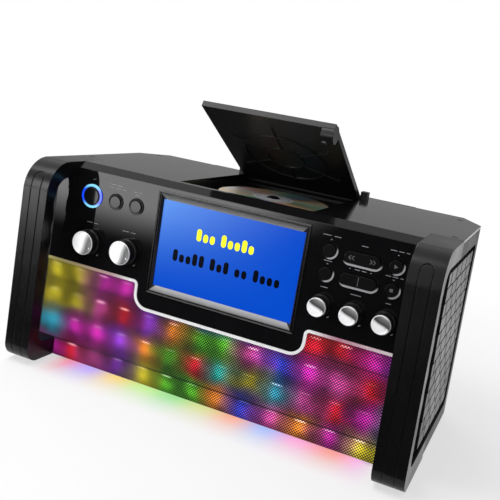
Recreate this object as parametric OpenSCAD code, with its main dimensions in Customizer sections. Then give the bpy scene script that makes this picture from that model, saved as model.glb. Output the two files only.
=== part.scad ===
// Tabletop karaoke machine with a top loading disc player.
// A tapered cabinet with two grab handles, a screen, a lit mesh front,
// patterned side grilles, a hinged disc lid and a ledge behind for a tablet.
// X runs to the right, Y to the back, Z up. The origin is on the ground,
// under the centre of the whole footprint. Sizes are millimetres.

/* [Cabinet] */
// Width across the deck, measured at its top edge
deck_w = 427; // [410:1:450]
// Height of the deck above the ground
deck_z = 221; // [215:1:235]
// Depth from the face of the control panel to the rear edge
cab_d = 206; // [200:1:225]
// Lean of each side, wider at the bottom, in degrees
draft = 1.7; // [0:0.1:3]
// Thickness of the moulded walls
wall = 2.5; // [2:0.1:4]
// Thickness of the deck
deck_t = 3; // [2:0.1:4]
// Thickness of the base plate
base_t = 3; // [2:0.1:5]
// Height of the rubber feet under the base plate
foot_h = 7; // [5:0.5:12]
// Width of the cut off corner at each rear edge
corner_x = 23.5; // [10:0.5:35]
// Depth of the cut off corner at each rear edge
corner_y = 37.5; // [20:0.5:50]
// Depth of the sloped front edge of the deck
lip_run = 12.5; // [6:0.5:16]
// Drop of the sloped front edge of the deck
lip_drop = 5.7; // [3:0.1:9]

/* [Handles] */
// Width of each grab handle
grip_w = 30; // [24:1:38]
// Thickness of each grab handle, front to back
grip_t = 15; // [11:0.5:20]
// Reach of the handles in front of the control panel
grip_reach = 45; // [38:1:60]
// Height of the handles above the ground
grip_lift = 3; // [1:0.5:6]
// Length of the handle arms behind the panel face
arm_back = 46; // [30:1:60]
// Height of the upper arm
arm_top = 17; // [12:1:24]
// Height of the lower arm
arm_low = 20; // [12:1:26]
// Outer radius of the handle at the top
nose_r = 32; // [20:1:40]
// Outer radius of the handle at the bottom
toe_r = 18; // [10:1:28]
// Distance between the two lines moulded down the handle
groove_gap = 11.5; // [6:0.5:16]
// Width of the moulded lines
groove_w = 0.9; // [0.5:0.1:1.5]
// Depth of the moulded lines
groove_d = 0.7; // [0.4:0.1:1.2]
// Depth of the finger scallops behind the handle
scallop_d = 1.8; // [0.5:0.1:3]
// Spacing of the finger scallops
scallop_pitch = 26; // [20:1:30]

/* [Side grilles] */
// Thickness of a side panel where it is full
side_t = 8.5; // [7:0.5:12]
// Depth of the pocket that takes the grille
pocket_d = 6; // [4:0.5:8]
// Length of the grille behind the panel face
grille_l = 155; // [120:1:160]
// Length of one brick of the pattern, with its gap
brick_l = 30; // [20:1:40]
// Height of one brick of the pattern, with its gap
brick_h = 14; // [10:0.5:20]
// Gap between bricks along the row
brick_gap = 3.4; // [2:0.1:6]
// Gap between the rows
row_gap = 1.5; // [1:0.1:3]
// Thickness of the sheet that carries the bricks
grille_t = 1.6; // [1:0.1:2.5]
// How far the bricks stay below the side panel's face
brick_set = 1.2; // [0.5:0.1:2]

/* [Control panel] */
// Thickness of the control panel
panel_t = 3; // [2:0.1:4]
// Height of the panel's lower edge beside the screen
shoulder_z = 113; // [105:1:120]
// Height of the panel's lower edge under the screen
dip_z = 86; // [78:1:92]
// Margin of the panel beside the screen surround, where it dips
dip_margin = 11; // [7:0.5:14]
// Radius of the lower corners of that part
dip_r = 13; // [6:0.5:16]
// Radius where that part joins the shoulders
shoulder_r = 5.5; // [4.5:0.1:8]
// Width of the bright trim along the lower edge
trim_w = 3; // [2:0.1:4]
// Height of the mesh front's lowest edge above the ground
lip_z = 3; // [2:0.5:5]
// Thickness of the mesh front
mesh_t = 0.8; // [0.5:0.1:1.2]

/* [Screen] */
// Width of the lit picture
screen_w = 154; // [140:1:156]
// Height of the lit picture
screen_h = 90; // [80:1:92]
// Height of the middle of the picture
screen_z = 157.6; // [154:0.1:160]
// Width of the screen surround at each side of the picture
frame_x = 5; // [4:0.5:8]
// Height of the screen surround above and below the picture
frame_z = 8.75; // [6:0.25:9]

/* [Controls] */
// Height of the row of knobs
knob_z = 140; // [134:0.5:145]
// Diameter of the two large knobs
big_knob_d = 27; // [20:0.5:30]
// Diameter of the three small knobs
small_knob_d = 20.5; // [16:0.5:24]
// How far the knobs stand out
knob_l = 15; // [10:0.5:20]
// Diameter of the potentiometer shafts
shaft_d = 6; // [4:0.5:6]
// Place of the outer large knob from the middle
big_knob_x = 157.5; // [150:0.5:162]
// Distance between the large knobs
big_pitch = 46; // [36:0.5:50]
// Place of the first small knob from the middle
small_knob_x = 104; // [100:0.5:108]
// Distance between the small knobs
small_pitch = 30.8; // [25:0.1:32]
// Height of the upper row of buttons
row_a_z = 192; // [188:0.5:196]
// Height of the lower row of buttons
row_b_z = 170; // [164:0.5:174]
// Diameter of the round buttons
button_d = 12; // [8:0.5:13]
// How far the buttons stand out
button_l = 2; // [1:0.1:4]
// Travel of the buttons
button_travel = 1.2; // [0.5:0.1:2]
// Diameter of the power button
power_d = 18; // [14:0.5:20]
// Outer diameter of the lit ring round the power button
power_ring_d = 25; // [23:0.5:28]
// Length of the rocker buttons
rocker_l = 34; // [26:0.5:38]
// Height of the rocker buttons
rocker_h = 11; // [8:0.5:13]
// Tilt of the rocker buttons each way, in degrees
rocker_tilt = 2.5; // [1:0.5:4]

/* [Disc player] */
// Place of the disc player, measured to the right from the middle
player_x = 2; // [-10:0.5:10]
// Diameter of the disc
disc_d = 120; // [80:40:120]
// Diameter of the disc's centre hole
disc_bore = 15; // [15:1:15]
// Thickness of the disc
disc_t = 1.2; // [1.2:0.1:1.5]
// Depth of the disc's lower face below the deck
disc_drop = 9.6; // [8:0.1:11]
// Distance of the spindle behind the panel face
spindle_y = 99; // [95:0.5:105]
// Width of the well's opening in the deck
well_w = 146; // [142:1:150]
// Length of the well's opening in the deck
well_l = 174; // [168:1:176]
// Distance of the opening behind the panel face
well_y = 19; // [17:0.5:22]
// Depth of the well
well_d = 13; // [12:0.1:16]
// Travel of the laser sled
sled_travel = 32; // [20:1:34]
// Diameter of the sled's guide rods
rod_d = 3; // [2:0.1:4]

/* [Lid] */
// Thickness of the disc lid
lid_t = 6; // [4:0.1:7]
// Gap between the lid and the edges of the well
lid_gap = 0.6; // [0.4:0.1:1.2]
// How far the lid stands open, in degrees
lid_open = 29.8; // [0:0.1:60]
// Diameter of the round ear at the lid's free corner
ear_d = 18; // [10:0.5:20]
// Length of that ear across the lid
latch_w = 13; // [9:0.5:16]
// Height of the ribs under the lid
rib_h = 1.2; // [0.6:0.1:1.6]
// Diameter of the lid's hinge pins
pin_d = 3; // [2:0.1:4]

/* [Tablet ledge] */
// Width of the ledge behind the deck
ledge_w = 264; // [200:1:300]
// Gap that takes the tablet
ledge_gap = 13; // [9:0.5:18]
// Depth of the ledge below the deck
ledge_d = 24; // [15:1:35]

/* [Inside] */
// Diameter of a speaker
speaker_d = 78; // [60:1:84]
// Distance of each speaker's middle from the side edge of the deck
speaker_in = 63.5; // [55:0.5:80]
// Thickness of the circuit boards
board_t = 1.6; // [1:0.1:2]
// Number of lights in a row behind the mesh
led_count = 15; // [9:1:17]
// Distance between the rows of lights
led_pitch = 22; // [18:0.5:23]
// Diameter of the deck and case screws
screw_d = 3; // [2.5:0.1:4]

/* [Hidden] */
$fn = 48;
// Clearance between pieces that only lie beside each other
fit = 0.3;
// Radial clearance of a shaft or pin that turns in its bore
run_fit = 0.05;
// Reach of a cutting shape past the piece that it cuts
over = 20;

// Reach of the ledge behind the cabinet
ledge_t = 3;
ledge_lean = 3;
ledge_out = ledge_gap + ledge_t + ledge_lean;
// Place of the panel face, so that the footprint is centred on Y
panel_y = grip_reach - (grip_reach + cab_d + ledge_out) / 2;
// Depth of the side panels, up to the cut off corner
side_y = cab_d - corner_y;
// Underside and top of the base plate
base_z = foot_h;
floor_z = base_z + base_t;
// Underside of the deck and top edge of the control panel
roof_z = deck_z - deck_t;
panel_top = deck_z - lip_drop;
// Limits of the pocket for the grille
pocket_low = grip_lift + arm_low;
pocket_top = deck_z - arm_top;
// Layers behind the mesh front
lens_r = 2.6;
diffuser_t = 2;
diffuser_y = mesh_t + 0.6 + lens_r;
led_h = 2.4;
led_board_y = diffuser_y + diffuser_t + 0.6 + led_h;
baffle_y = led_board_y + board_t + fit;
led_low = lip_z + 8;
led_rows = 5;
speaker_x = deck_w / 2 - speaker_in;
// Whole screen surround, and half width of the panel where it dips
bezel_w = screen_w + 2 * frame_x;
bezel_h = screen_h + 2 * frame_z;
dip_x = bezel_w / 2 + dip_margin;
// Layers behind the control panel
board_y = 14;
switch_h = 3.4;
pot_y = 5.5;
// Place of the lid's hinge, at the back of the well
barrel_r = 4.4;
hinge_y = well_y + well_l - lid_gap - barrel_r;
hinge_z = deck_z - barrel_r;
lid_w = well_w - 2 * lid_gap;
lid_l = hinge_y - well_y - lid_gap;
pin_l = 8;
// Disc player heights
disc_z = deck_z - disc_drop;
well_z = deck_z - well_d;
well_wall = 2;
hub_r = 15;
platter_t = 1.6;
rod_gap = 2 * (hub_r + 3.4);
sled_w = rod_gap + 10;
sled_d = 22;
sled_h = 7;
sled_z = well_z - well_wall - 2.5;
rod_z = sled_z - sled_h / 2;
sled_y = spindle_y - hub_r - 16;
lens_y = sled_y + 5;
slot_y0 = lens_y - sled_travel - 6;
rod_y0 = sled_y - sled_d / 2 - sled_travel - 7;
rod_y1 = spindle_y + hub_r + 8;
ear_h = 8;

// Half width of the cabinet's outer face at a height
function half_w(z) = deck_w / 2 + (deck_z - z) * tan(draft);
// Half width inside the side panels at a height
function half_in(z) = half_w(z) - side_t / cos(draft);
// Places of the knobs and buttons, [x, z]
big_knobs = [[-big_knob_x, knob_z], [-big_knob_x + big_pitch, knob_z]];
small_knobs = [for (i = [0:2]) [small_knob_x + i * small_pitch, knob_z]];
rocker_x = small_knob_x + small_pitch;
rockers = [[rocker_x, row_a_z - 1.2], [rocker_x, row_b_z]];
power_at = [-161, row_a_z - 3.5];
left_buttons = [[-131.4, row_a_z - 3.8], [-106.5, row_a_z - 3.5]];
program_at = [small_knob_x - 1, row_a_z];
vocal_at = [small_knob_x - 1, row_b_z];
play_at = [small_knob_x + 2 * small_pitch + 0.5, row_a_z];
stop_at = [small_knob_x + 2 * small_pitch + 0.5, row_b_z];
round_buttons = concat(left_buttons, [program_at, vocal_at, play_at, stop_at]);
// Posts behind the panel, and the rockers' pivots, pegs and switches
board_posts = [[-big_knob_x - 20.5, knob_z + 20], [1 - dip_x, knob_z + 20],
    [dip_x, knob_z + 13], [play_at[0] + 12.9, knob_z + 13]];
pivot_r = 1.2;
rocker_axis_y = panel_t + 3;
peg_x = rocker_l / 2 - 5;
peg_y = board_y - switch_h - fit - peg_x * sin(rocker_tilt);
rocker_switches = [for (p = rockers, s = [-1, 1]) [p[0] + s * peg_x, p[1]]];
// Sockets, power inlet and vents in the back
jack_w = 92;
jack_h = 26;
jack_x = -(deck_w / 2 - 103.5);
jack_z = 60;
inlet_w = 22;
inlet_h = 18;
inlet_x = deck_w / 2 - 63.5;
inlet_z = 60;
vent_x = 0;
vent_z = 110;
// Height of the loudspeakers, front of the screen surround, scallop radius
speaker_z = 58;
bezel_proud = 1.2;
scallop_r = 18;
// Places of the screws
deck_screws = [[deck_w / 2 - 10, arm_back + 7], [deck_w / 2 - corner_x, side_y + 10]];
back_screws = [[ledge_w / 2 + 18, roof_z - 8], [ledge_w / 2 + 18, floor_z + 8],
    [50, floor_z + 8]];
boss_d = 12;
feet_at = [[deck_w / 2 - 43.5, 24], [deck_w / 2 - 48.5, cab_d - 28]];

// Puts a shape that is drawn from the panel face into the part's frame
module at_panel() {
    translate([0, panel_y, 0])
        children();
}

// The same for a piece of the disc player
module at_player() {
    translate([player_x, panel_y, 0])
        children();
}

// Extrudes an outline drawn in X and Z backwards from y
module plate(y, t) {
    translate([0, y + t, 0])
        rotate([90, 0, 0])
            linear_extrude(t)
                children();
}

// Extrudes an outline drawn in Y and Z along X
module span(x0, x1) {
    translate([x0, 0, 0])
        rotate([90, 0, 90])
            linear_extrude(x1 - x0)
                children();
}

// Leaning slab that follows the outer face of one side, s is -1 or 1
module slab(s, x0, x1) {
    mirror([s < 0 ? 1 : 0, 0, 0])
        translate([deck_w / 2, 0, deck_z])
            rotate([0, -draft, 0])
                translate([x0, -grip_reach - over, -deck_z - over])
                    cube([x1 - x0, grip_reach + cab_d + 2 * over, deck_z + 2 * over]);
}

// Extrudes a side outline right across one half of the machine
module across(s) {
    x0 = s < 0 ? -deck_w / 2 - 2 * over : deck_w / 2 - 3 * over;
    span(x0, x0 + 5 * over)
        children();
}

// Rectangle from corner to corner with its front corners rounded
module bow(y0, y1, z0, z1, r_top, r_low) {
    difference() {
        translate([y0, z0])
            square([y1 - y0, z1 - z0]);
        translate([y0 + r_top, z1 - r_top])
            difference() {
                translate([-2 * r_top, 0])
                    square(2 * r_top);
                circle(r_top, $fn = 96);
                translate([0, -r_top])
                    square(3 * r_top);
            }
        translate([y0 + r_low, z0 + r_low])
            difference() {
                translate([-2 * r_low, -2 * r_low])
                    square(2 * r_low);
                circle(r_low, $fn = 96);
                translate([0, -3 * r_low])
                    square([3 * r_low, 4 * r_low]);
            }
    }
}

// Flat outline with both ends round
module stadium(l, h) {
    square([l - h, h], center = true);
    for (s = [-1, 1])
        translate([s * (l - h) / 2, 0])
            circle(h / 2);
}

// Cylinder along Y from y, outwards to y + l
module rod_y(x, y, z, r, l) {
    translate([x, y, z])
        rotate([-90, 0, 0])
            cylinder(r = r, h = l);
}

// Outline of the whole front up to height z1, within the side panels
module front_outline(z0, z1, gap) {
    w0 = half_in(z0) - gap;
    w1 = half_in(z1) - gap;
    difference() {
        polygon([[-w0, z0], [w0, z0], [w1, z1], [-w1, z1]]);
        for (s = [-1, 1]) {
            arm_low_x = half_w(pocket_low) - grip_w - fit;
            arm_top_x = deck_w / 2 - grip_w - fit;
            translate([s > 0 ? arm_low_x : -arm_low_x - 3 * over, -over])
                square([3 * over, over + pocket_low + fit]);
            translate([s > 0 ? arm_top_x : -arm_top_x - 3 * over, pocket_top - fit])
                square([3 * over, over]);
        }
    }
}

// The control panel's shape grown by e along its lower edge
module panel_shape(e) {
    r = dip_r + e;
    f = shoulder_r - e;
    x = dip_x + e;
    translate([-deck_w, shoulder_z - e])
        square([2 * deck_w, deck_z]);
    translate([-x, dip_z - e + r])
        square([2 * x, shoulder_z - dip_z - r + 1]);
    translate([-x + r, dip_z - e])
        square([2 * (x - r), r + 1]);
    for (s = [-1, 1]) {
        translate([s * (x - r), dip_z - e + r])
            circle(r);
        translate([s * (x + f), shoulder_z - e - f])
            difference() {
                translate([s > 0 ? -f : 0, 0])
                    square(f);
                circle(f);
            }
    }
}

// Shape of the lit front below the panel and its trim
module mesh_shape(z0, gap) {
    difference() {
        front_outline(z0, shoulder_z, gap);
        panel_shape(trim_w + fit);
    }
}

// Plan outline of the cabinet at a height, from y0 to the rear edge
module plan(z, y0, inset) {
    w = half_w(z) - inset;
    c = corner_x - inset * 0.4;
    polygon([[-w, y0], [w, y0], [w, side_y], [w - c, cab_d - inset],
        [-w + c, cab_d - inset], [-w, side_y]]);
}

module base_plate() {
    arm_x = half_w(pocket_low) - grip_w - fit;
    color("#1c1c1e")
        at_panel() {
            difference() {
                translate([0, 0, base_z])
                    linear_extrude(base_t)
                        difference() {
                            plan(floor_z, diffuser_y + diffuser_t + fit, 0);
                            for (s = [-1, 1])
                                translate([s > 0 ? arm_x : -arm_x - 3 * over, -over])
                                    square([3 * over, over + arm_back + fit]);
                        }
                for (s = [-1, 1], p = feet_at)
                    translate([s * p[0], p[1], base_z - 1])
                        cylinder(d = screw_d + 0.4, h = base_t + 2);
            }
            // Blocks that the lower back screws go into
            for (s = [-1, 1], x = [back_screws[1][0], back_screws[2][0]])
                screw_block(s * x, back_screws[1][1], floor_z, floor_z + boss_d + 2);
            // Posts for the main board
            for (x = [-85, 85], y = [75, 165])
                translate([x, y, floor_z])
                    cylinder(d = 7, h = 6);
        }
}

// Block with a hole for a screw that comes in through the back panel
module screw_block(x, z, z0, z1) {
    difference() {
        translate([x - 5, cab_d - wall - fit - boss_d, z0])
            cube([10, boss_d, z1 - z0]);
        rod_y(x, cab_d - wall - boss_d - 1, z, screw_d / 2 + 0.1, boss_d + 2);
    }
}

module side_panel(s) {
    color("#2a2a2c")
        at_panel()
            difference() {
                // Post that the front deck screw goes into
                translate([s * deck_screws[0][0], deck_screws[0][1], roof_z - boss_d]) {
                    cylinder(r = 4, h = boss_d);
                    translate([s > 0 ? 0 : -6, -4, 0])
                        cube([6, 8, boss_d]);
                }
                screw_hole(s);
            }
    color("#2a2a2c")
        at_panel()
            difference() {
                intersection() {
                    slab(s, -side_t, 0);
                    across(s)
                        difference() {
                            translate([0, floor_z])
                                square([side_y, roof_z - floor_z]);
                            translate([-1, pocket_top - fit])
                                square([arm_back + fit + 1, over + arm_top]);
                            translate([-1, -over])
                                square([arm_back + fit + 1, over + pocket_low + fit]);
                        }
                }
                intersection() {
                    slab(s, -pocket_d, over);
                    across(s)
                        pocket(0);
                }
                screw_hole(s);
            }
}

module screw_hole(s) {
    translate([s * deck_screws[0][0], deck_screws[0][1], roof_z - boss_d - 1])
        cylinder(d = screw_d + 0.2, h = boss_d + 2);
}

// Outline of the grille pocket, open at the front, with round rear corners
module pocket(inset) {
    mirror([1, 0])
        bow(-grille_l + inset, inset > 0 ? 0 : 1,
            pocket_low + inset, pocket_top - inset, 8 - inset, 8 - inset);
}

// Rows of bricks laid in running bond
module bricks() {
    h = pocket_top - pocket_low;
    rows = floor(h / brick_h);
    z0 = pocket_low + (h - rows * brick_h) / 2;
    columns = ceil(grille_l / brick_l);
    for (i = [0:rows - 1], j = [0:columns])
        translate([(j - (i % 2) / 2) * brick_l + brick_gap / 2, z0 + i * brick_h + row_gap / 2])
            square([brick_l - brick_gap, brick_h - row_gap]);
}

module side_grille(s) {
    color("#3a3a3c")
        at_panel() {
            intersection() {
                slab(s, -pocket_d, -pocket_d + grille_t);
                across(s)
                    pocket(fit);
            }
            intersection() {
                slab(s, -pocket_d + grille_t / 2, -brick_set);
                across(s)
                    intersection() {
                        bricks();
                        pocket(2);
                    }
            }
        }
}

module back_panel() {
    color("#232325")
        at_panel() {
            difference() {
                hull()
                    for (z = [floor_z, roof_z - 0.01])
                        translate([0, 0, z])
                            linear_extrude(0.01)
                                plan(z, side_y, 0);
                hull()
                    for (z = [floor_z - 1, roof_z + 1])
                        translate([0, 0, z])
                            linear_extrude(0.01)
                                plan(z, side_y - 1, wall);
                // Openings for the sockets and the power inlet
                translate([-jack_w / 2 + jack_x, cab_d - wall - 1, jack_z - jack_h / 2])
                    cube([jack_w, wall + 2, jack_h]);
                translate([inlet_x - inlet_w / 2, cab_d - wall - 1, inlet_z - inlet_h / 2])
                    cube([inlet_w, wall + 2, inlet_h]);
                // Vents
                for (i = [-5:5])
                    translate([vent_x + i * 9, cab_d - wall - 1, vent_z])
                        rotate([-90, 0, 0])
                            linear_extrude(wall + 2)
                                rotate(90)
                                    stadium(40, 3);
                for (s = [-1, 1], p = back_screws)
                    rod_y(s * p[0], cab_d - wall - 1, p[1], screw_d / 2 + 0.2, wall + 2);
            }
            // Ribbed posts that the rear deck screws go into
            for (s = [-1, 1])
                difference() {
                    intersection() {
                        translate([s * deck_screws[1][0], deck_screws[1][1], roof_z - boss_d]) {
                            cylinder(r = 4, h = boss_d);
                            rotate(s > 0 ? 32 : 148)
                                translate([0, -1.5, 0])
                                    cube([over + 5, 3, boss_d]);
                        }
                        translate([0, 0, roof_z - boss_d - 1])
                            linear_extrude(boss_d + 1)
                                plan(deck_z, side_y - over, wall / 2);
                    }
                    translate([s * deck_screws[1][0], deck_screws[1][1], roof_z - boss_d - 1])
                        cylinder(d = screw_d + 0.2, h = boss_d + 2);
                }
        }
}

module top_deck() {
    arm_x = deck_w / 2 - grip_w - fit;
    color("#101012")
        at_panel() {
            difference() {
                union() {
                    translate([0, 0, roof_z])
                        linear_extrude(deck_t)
                            difference() {
                                plan(deck_z, lip_run, 0);
                                for (s = [-1, 1])
                                    translate([s > 0 ? arm_x : -arm_x - 3 * over, -over])
                                        square([3 * over, over + arm_back + fit]);
                            }
                    for (s = [-1, 1])
                        screw_block(s * back_screws[0][0], back_screws[0][1], roof_z - boss_d - 2, roof_z + 1);
                    span(-arm_x, arm_x)
                        polygon([[0, panel_top], [panel_t, panel_top],
                            [lip_run + 1, roof_z], [lip_run + 1, deck_z], [lip_run, deck_z]]);
                }
                translate([player_x - well_w / 2, well_y, roof_z - 1])
                    cube([well_w, well_l, deck_t + 2]);
                // Notches for the ears that carry the lid's hinge
                translate([player_x - well_w / 2 - pin_l - fit, hinge_y - 6 - fit, roof_z - 1])
                    cube([well_w + 2 * (pin_l + fit), 10 + 2 * fit, deck_t + 2]);
                for (s = [-1, 1], p = deck_screws)
                    translate([s * p[0], p[1], roof_z - 1]) {
                        cylinder(d = screw_d + 0.4, h = deck_t + 2);
                        translate([0, 0, deck_t - 0.4])
                            cylinder(d = 2 * screw_d + 0.4, h = 3);
                    }
            }
        }
}

module control_panel() {
    color("#0b0b0d")
        at_panel() {
            difference() {
                plate(0, panel_t)
                    difference() {
                        intersection() {
                            front_outline(lip_z, panel_top, fit);
                            panel_shape(0);
                        }
                        translate([0, screen_z])
                            square([bezel_w - 2, bezel_h - 4], center = true);
                    }
                for (p = concat(big_knobs, small_knobs))
                    rod_y(p[0], -1, p[1], 4.2, panel_t + 2);
                for (p = round_buttons)
                    rod_y(p[0], -1, p[1], button_d / 2 + fit, panel_t + 2);
                rod_y(power_at[0], -1, power_at[1], power_ring_d / 2 + run_fit, panel_t + 2);
                for (p = rockers)
                    translate([p[0], 0, p[1]])
                        plate(-1, panel_t + 2)
                            stadium(rocker_l + 1.4, rocker_h + 1);
            }
            // Posts for the two control boards
            for (p = board_posts)
                rod_y(p[0], panel_t, p[1], 3, board_y - panel_t);
            // Lugs that hold the rockers' pivots
            for (p = rockers, s = [-1, 1])
                difference() {
                    translate([p[0] - 3, panel_t, p[1] + s * (rocker_h / 2 + 2.5) - 1])
                        cube([6, 5, 2]);
                    translate([p[0], rocker_axis_y, p[1] + s * (rocker_h / 2 + 2.5) - 2])
                        cylinder(r = pivot_r + run_fit, h = 4);
                }
        }
}

module handle(s) {
    color("#242426")
        at_panel()
            difference() {
                intersection() {
                    slab(s, -grip_w, 0);
                    across(s)
                        handle_outline();
                }
                difference() {
                    groove(s);
                    across(s)
                        bow(-grip_reach + groove_d, arm_back, grip_lift + groove_d,
                            deck_z - groove_d, nose_r - groove_d, toe_r - groove_d);
                }
            }
}

module handle_outline() {
    difference() {
        bow(-grip_reach, arm_back, grip_lift, deck_z, nose_r, toe_r);
        bow(-grip_reach + grip_t, arm_back + 1, pocket_low, pocket_top,
            nose_r - grip_t, toe_r - 6);
        for (i = [-2:2])
            translate([-grip_reach + grip_t - scallop_d + scallop_r,
                    (pocket_low + pocket_top) / 2 + 12 + i * scallop_pitch])
                circle(scallop_r);
    }
}

// Line moulded down the front of a handle and round over its top
module groove(s) {
    top = deck_z - 12;
    mirror([s < 0 ? 1 : 0, 0, 0])
        translate([deck_w / 2, 0, deck_z])
            rotate([0, -draft, 0])
                translate([-grip_w / 2, 0, -deck_z])
                    plate(-grip_reach - 1, nose_r)
                        difference() {
                            groove_shape(groove_gap / 2 + groove_w / 2, top);
                            groove_shape(groove_gap / 2 - groove_w / 2, top);
                        }
}

module groove_shape(r, top) {
    translate([0, top - groove_gap / 2])
        circle(r);
    translate([-r, -over])
        square([2 * r, over + top - groove_gap / 2]);
}

module screen_surround() {
    color("#1a1a1c")
        at_panel()
            difference() {
                union() {
                    translate([0, 0, screen_z])
                        plate(-bezel_proud, bezel_proud)
                            square([bezel_w, bezel_h], center = true);
                    translate([0, 0, screen_z])
                        plate(-bezel_proud, panel_t + bezel_proud)
                            square([bezel_w - 2 - 2 * fit, bezel_h - 4 - 2 * fit], center = true);
                }
                hull() {
                    translate([0, 0, screen_z])
                        plate(-bezel_proud - 0.1, 0.1)
                            square([bezel_w - 3.4, bezel_h - 6.4], center = true);
                    translate([0, 0, screen_z])
                        plate(panel_t, 0.1)
                            square([screen_w, screen_h], center = true);
                }
            }
}

module screen_panel() {
    color("#0a46c8")
        at_panel() {
            translate([0, 0, screen_z])
                plate(panel_t + 0.1, 2)
                    square([screen_w + 4, screen_h + 4], center = true);
            translate([0, 0, screen_z])
                plate(panel_t + 2, 5)
                    square([screen_w + 12, screen_h + 18], center = true);
        }
}

module window_trim() {
    color("#d8d8dc")
        at_panel()
            plate(-0.8, panel_t)
                difference() {
                    intersection() {
                        front_outline(lip_z, shoulder_z + 1, fit);
                        panel_shape(trim_w);
                    }
                    panel_shape(0.1);
                }
}

module mesh_front() {
    color("#7a2f8a")
        at_panel()
            plate(0, mesh_t)
                mesh_shape(lip_z, fit);
}

// Heights of the rows of lights
function led_z(i) = led_low + i * led_pitch;

module light_diffuser() {
    color("#efe9f5")
        at_panel() {
            plate(diffuser_y, diffuser_t)
                mesh_shape(lip_z + 1, fit);
            intersection() {
                plate(0, diffuser_y + 1)
                    mesh_shape(lip_z + 1, 2 * fit);
                for (i = [0:led_rows - 1])
                    translate([-deck_w / 2, diffuser_y, led_z(i)])
                        rotate([0, 90, 0])
                            cylinder(r = lens_r, h = deck_w);
            }
        }
}

module light_board() {
    step = 2 * (half_in(floor_z) - 8) / led_count;
    color("#1f5a33")
        at_panel() {
            difference() {
                plate(led_board_y, board_t)
                    mesh_shape(floor_z + fit, 2 * fit);
                for (s = [-1, 1])
                    rod_y(s * speaker_x, led_board_y - 1, speaker_z, speaker_d / 2 - 8, board_t + 2);
            }
            for (i = [0:led_rows - 1], j = [0:led_count - 1]) {
                x = (j - (led_count - 1) / 2) * step;
                z = led_z(i);
                clear_dip = abs(x) > dip_x + trim_w + 5 || z < dip_z - trim_w - 5;
                clear_cone = norm([abs(x) - speaker_x, z - speaker_z]) > speaker_d / 2 - 4;
                if (clear_dip && clear_cone && z > floor_z + 3 && abs(x) < half_in(z) - 6)
                    translate([x - 2.5, led_board_y - led_h, z - 2.5])
                        cube([5, led_h + board_t / 2, 5]);
            }
        }
}

module front_baffle() {
    color("#1b1b1d")
        at_panel()
            difference() {
                plate(baffle_y, wall)
                    mesh_shape(floor_z, fit);
                for (s = [-1, 1])
                    rod_y(s * speaker_x, baffle_y - 1, speaker_z, speaker_d / 2 - 6, wall + 2);
            }
}

module speaker(s) {
    r = speaker_d / 2;
    color("#303034")
        at_panel()
            translate([s * speaker_x, baffle_y + wall, speaker_z])
                rotate([-90, 0, 0])
                    rotate_extrude()
                        polygon([[0, 12], [r - 8, 0], [r, 0], [r, 2], [r - 5, 2.5],
                            [r * 0.55, 20], [r * 0.6, 20], [r * 0.6, 32], [0, 32]]);
}

module disc_well() {
    ow = well_w + 2 * well_wall;
    ol = well_l + 2 * well_wall;
    color("#161618")
        at_player() {
            difference() {
                union() {
                    translate([-ow / 2, well_y - well_wall, well_z - well_wall])
                        cube([ow, ol, roof_z - well_z + well_wall]);
                    translate([-ow / 2 - 6, well_y - well_wall - 2, roof_z - 2])
                        cube([ow + 12, ol + 8, 2]);
                    // Blocks that hold the hinge pins
                    for (s = [-1, 1])
                        translate([s > 0 ? well_w / 2 : -well_w / 2 - pin_l, hinge_y - 6, well_z])
                            cube([pin_l, 10, deck_z + ear_h - well_z]);
                    // Blocks that hold the sled's guide rods
                    for (y = [rod_y0, rod_y1 - 5])
                        translate([-rod_gap / 2 - 5, y, rod_z - 4])
                            cube([rod_gap + 10, 5, well_z - rod_z + 3]);
                    // Ring that carries the spindle motor
                    translate([0, spindle_y, well_z - well_wall - 4])
                        cylinder(r = hub_r + 2, h = 5);
                }
                translate([-well_w / 2, well_y, well_z])
                    cube([well_w, well_l, over]);
                // Round recess under the disc
                translate([0, spindle_y, well_z - 1])
                    cylinder(d = disc_d + 6, h = over, $fn = 96);
                // Opening for the hub and the laser
                translate([0, spindle_y, well_z - over])
                    cylinder(r = hub_r - 1, h = 2 * over);
                translate([-9, slot_y0, well_z - well_wall - 1])
                    cube([18, spindle_y - slot_y0, over]);
                // Slot for the lid's latch
                translate([lid_w / 2 - latch_w - 1, well_y + 0.01, well_z - over])
                    cube([well_w / 2 - lid_w / 2 + latch_w + 0.99, ear_d + 2, 2 * over]);
                for (s = [-1, 1])
                    translate([s * (well_w / 2 + pin_l / 2), hinge_y, hinge_z])
                        rotate([0, 90, 0])
                            cylinder(r = pin_d / 2, h = pin_l + 1, center = true);
                for (x = [-rod_gap / 2, rod_gap / 2])
                    rod_y(x, rod_y0 - 1, rod_z, rod_d / 2, rod_y1 - rod_y0 + 2);
            }
        }
}

module lid_hinge_pins() {
    color("#b9bcc0")
        at_player()
            for (s = [-1, 1])
                translate([s > 0 ? lid_w / 2 - 10 : -well_w / 2 - pin_l, hinge_y, hinge_z])
                    rotate([0, 90, 0])
                        cylinder(d = pin_d, h = pin_l + 10 + lid_gap);
}

// Turns the lid about its hinge from closed to where it stands
module open_lid() {
    at_player()
        translate([0, hinge_y, hinge_z])
            rotate([-lid_open, 0, 0])
                translate([0, -hinge_y, -hinge_z])
                    children();
}

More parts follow.
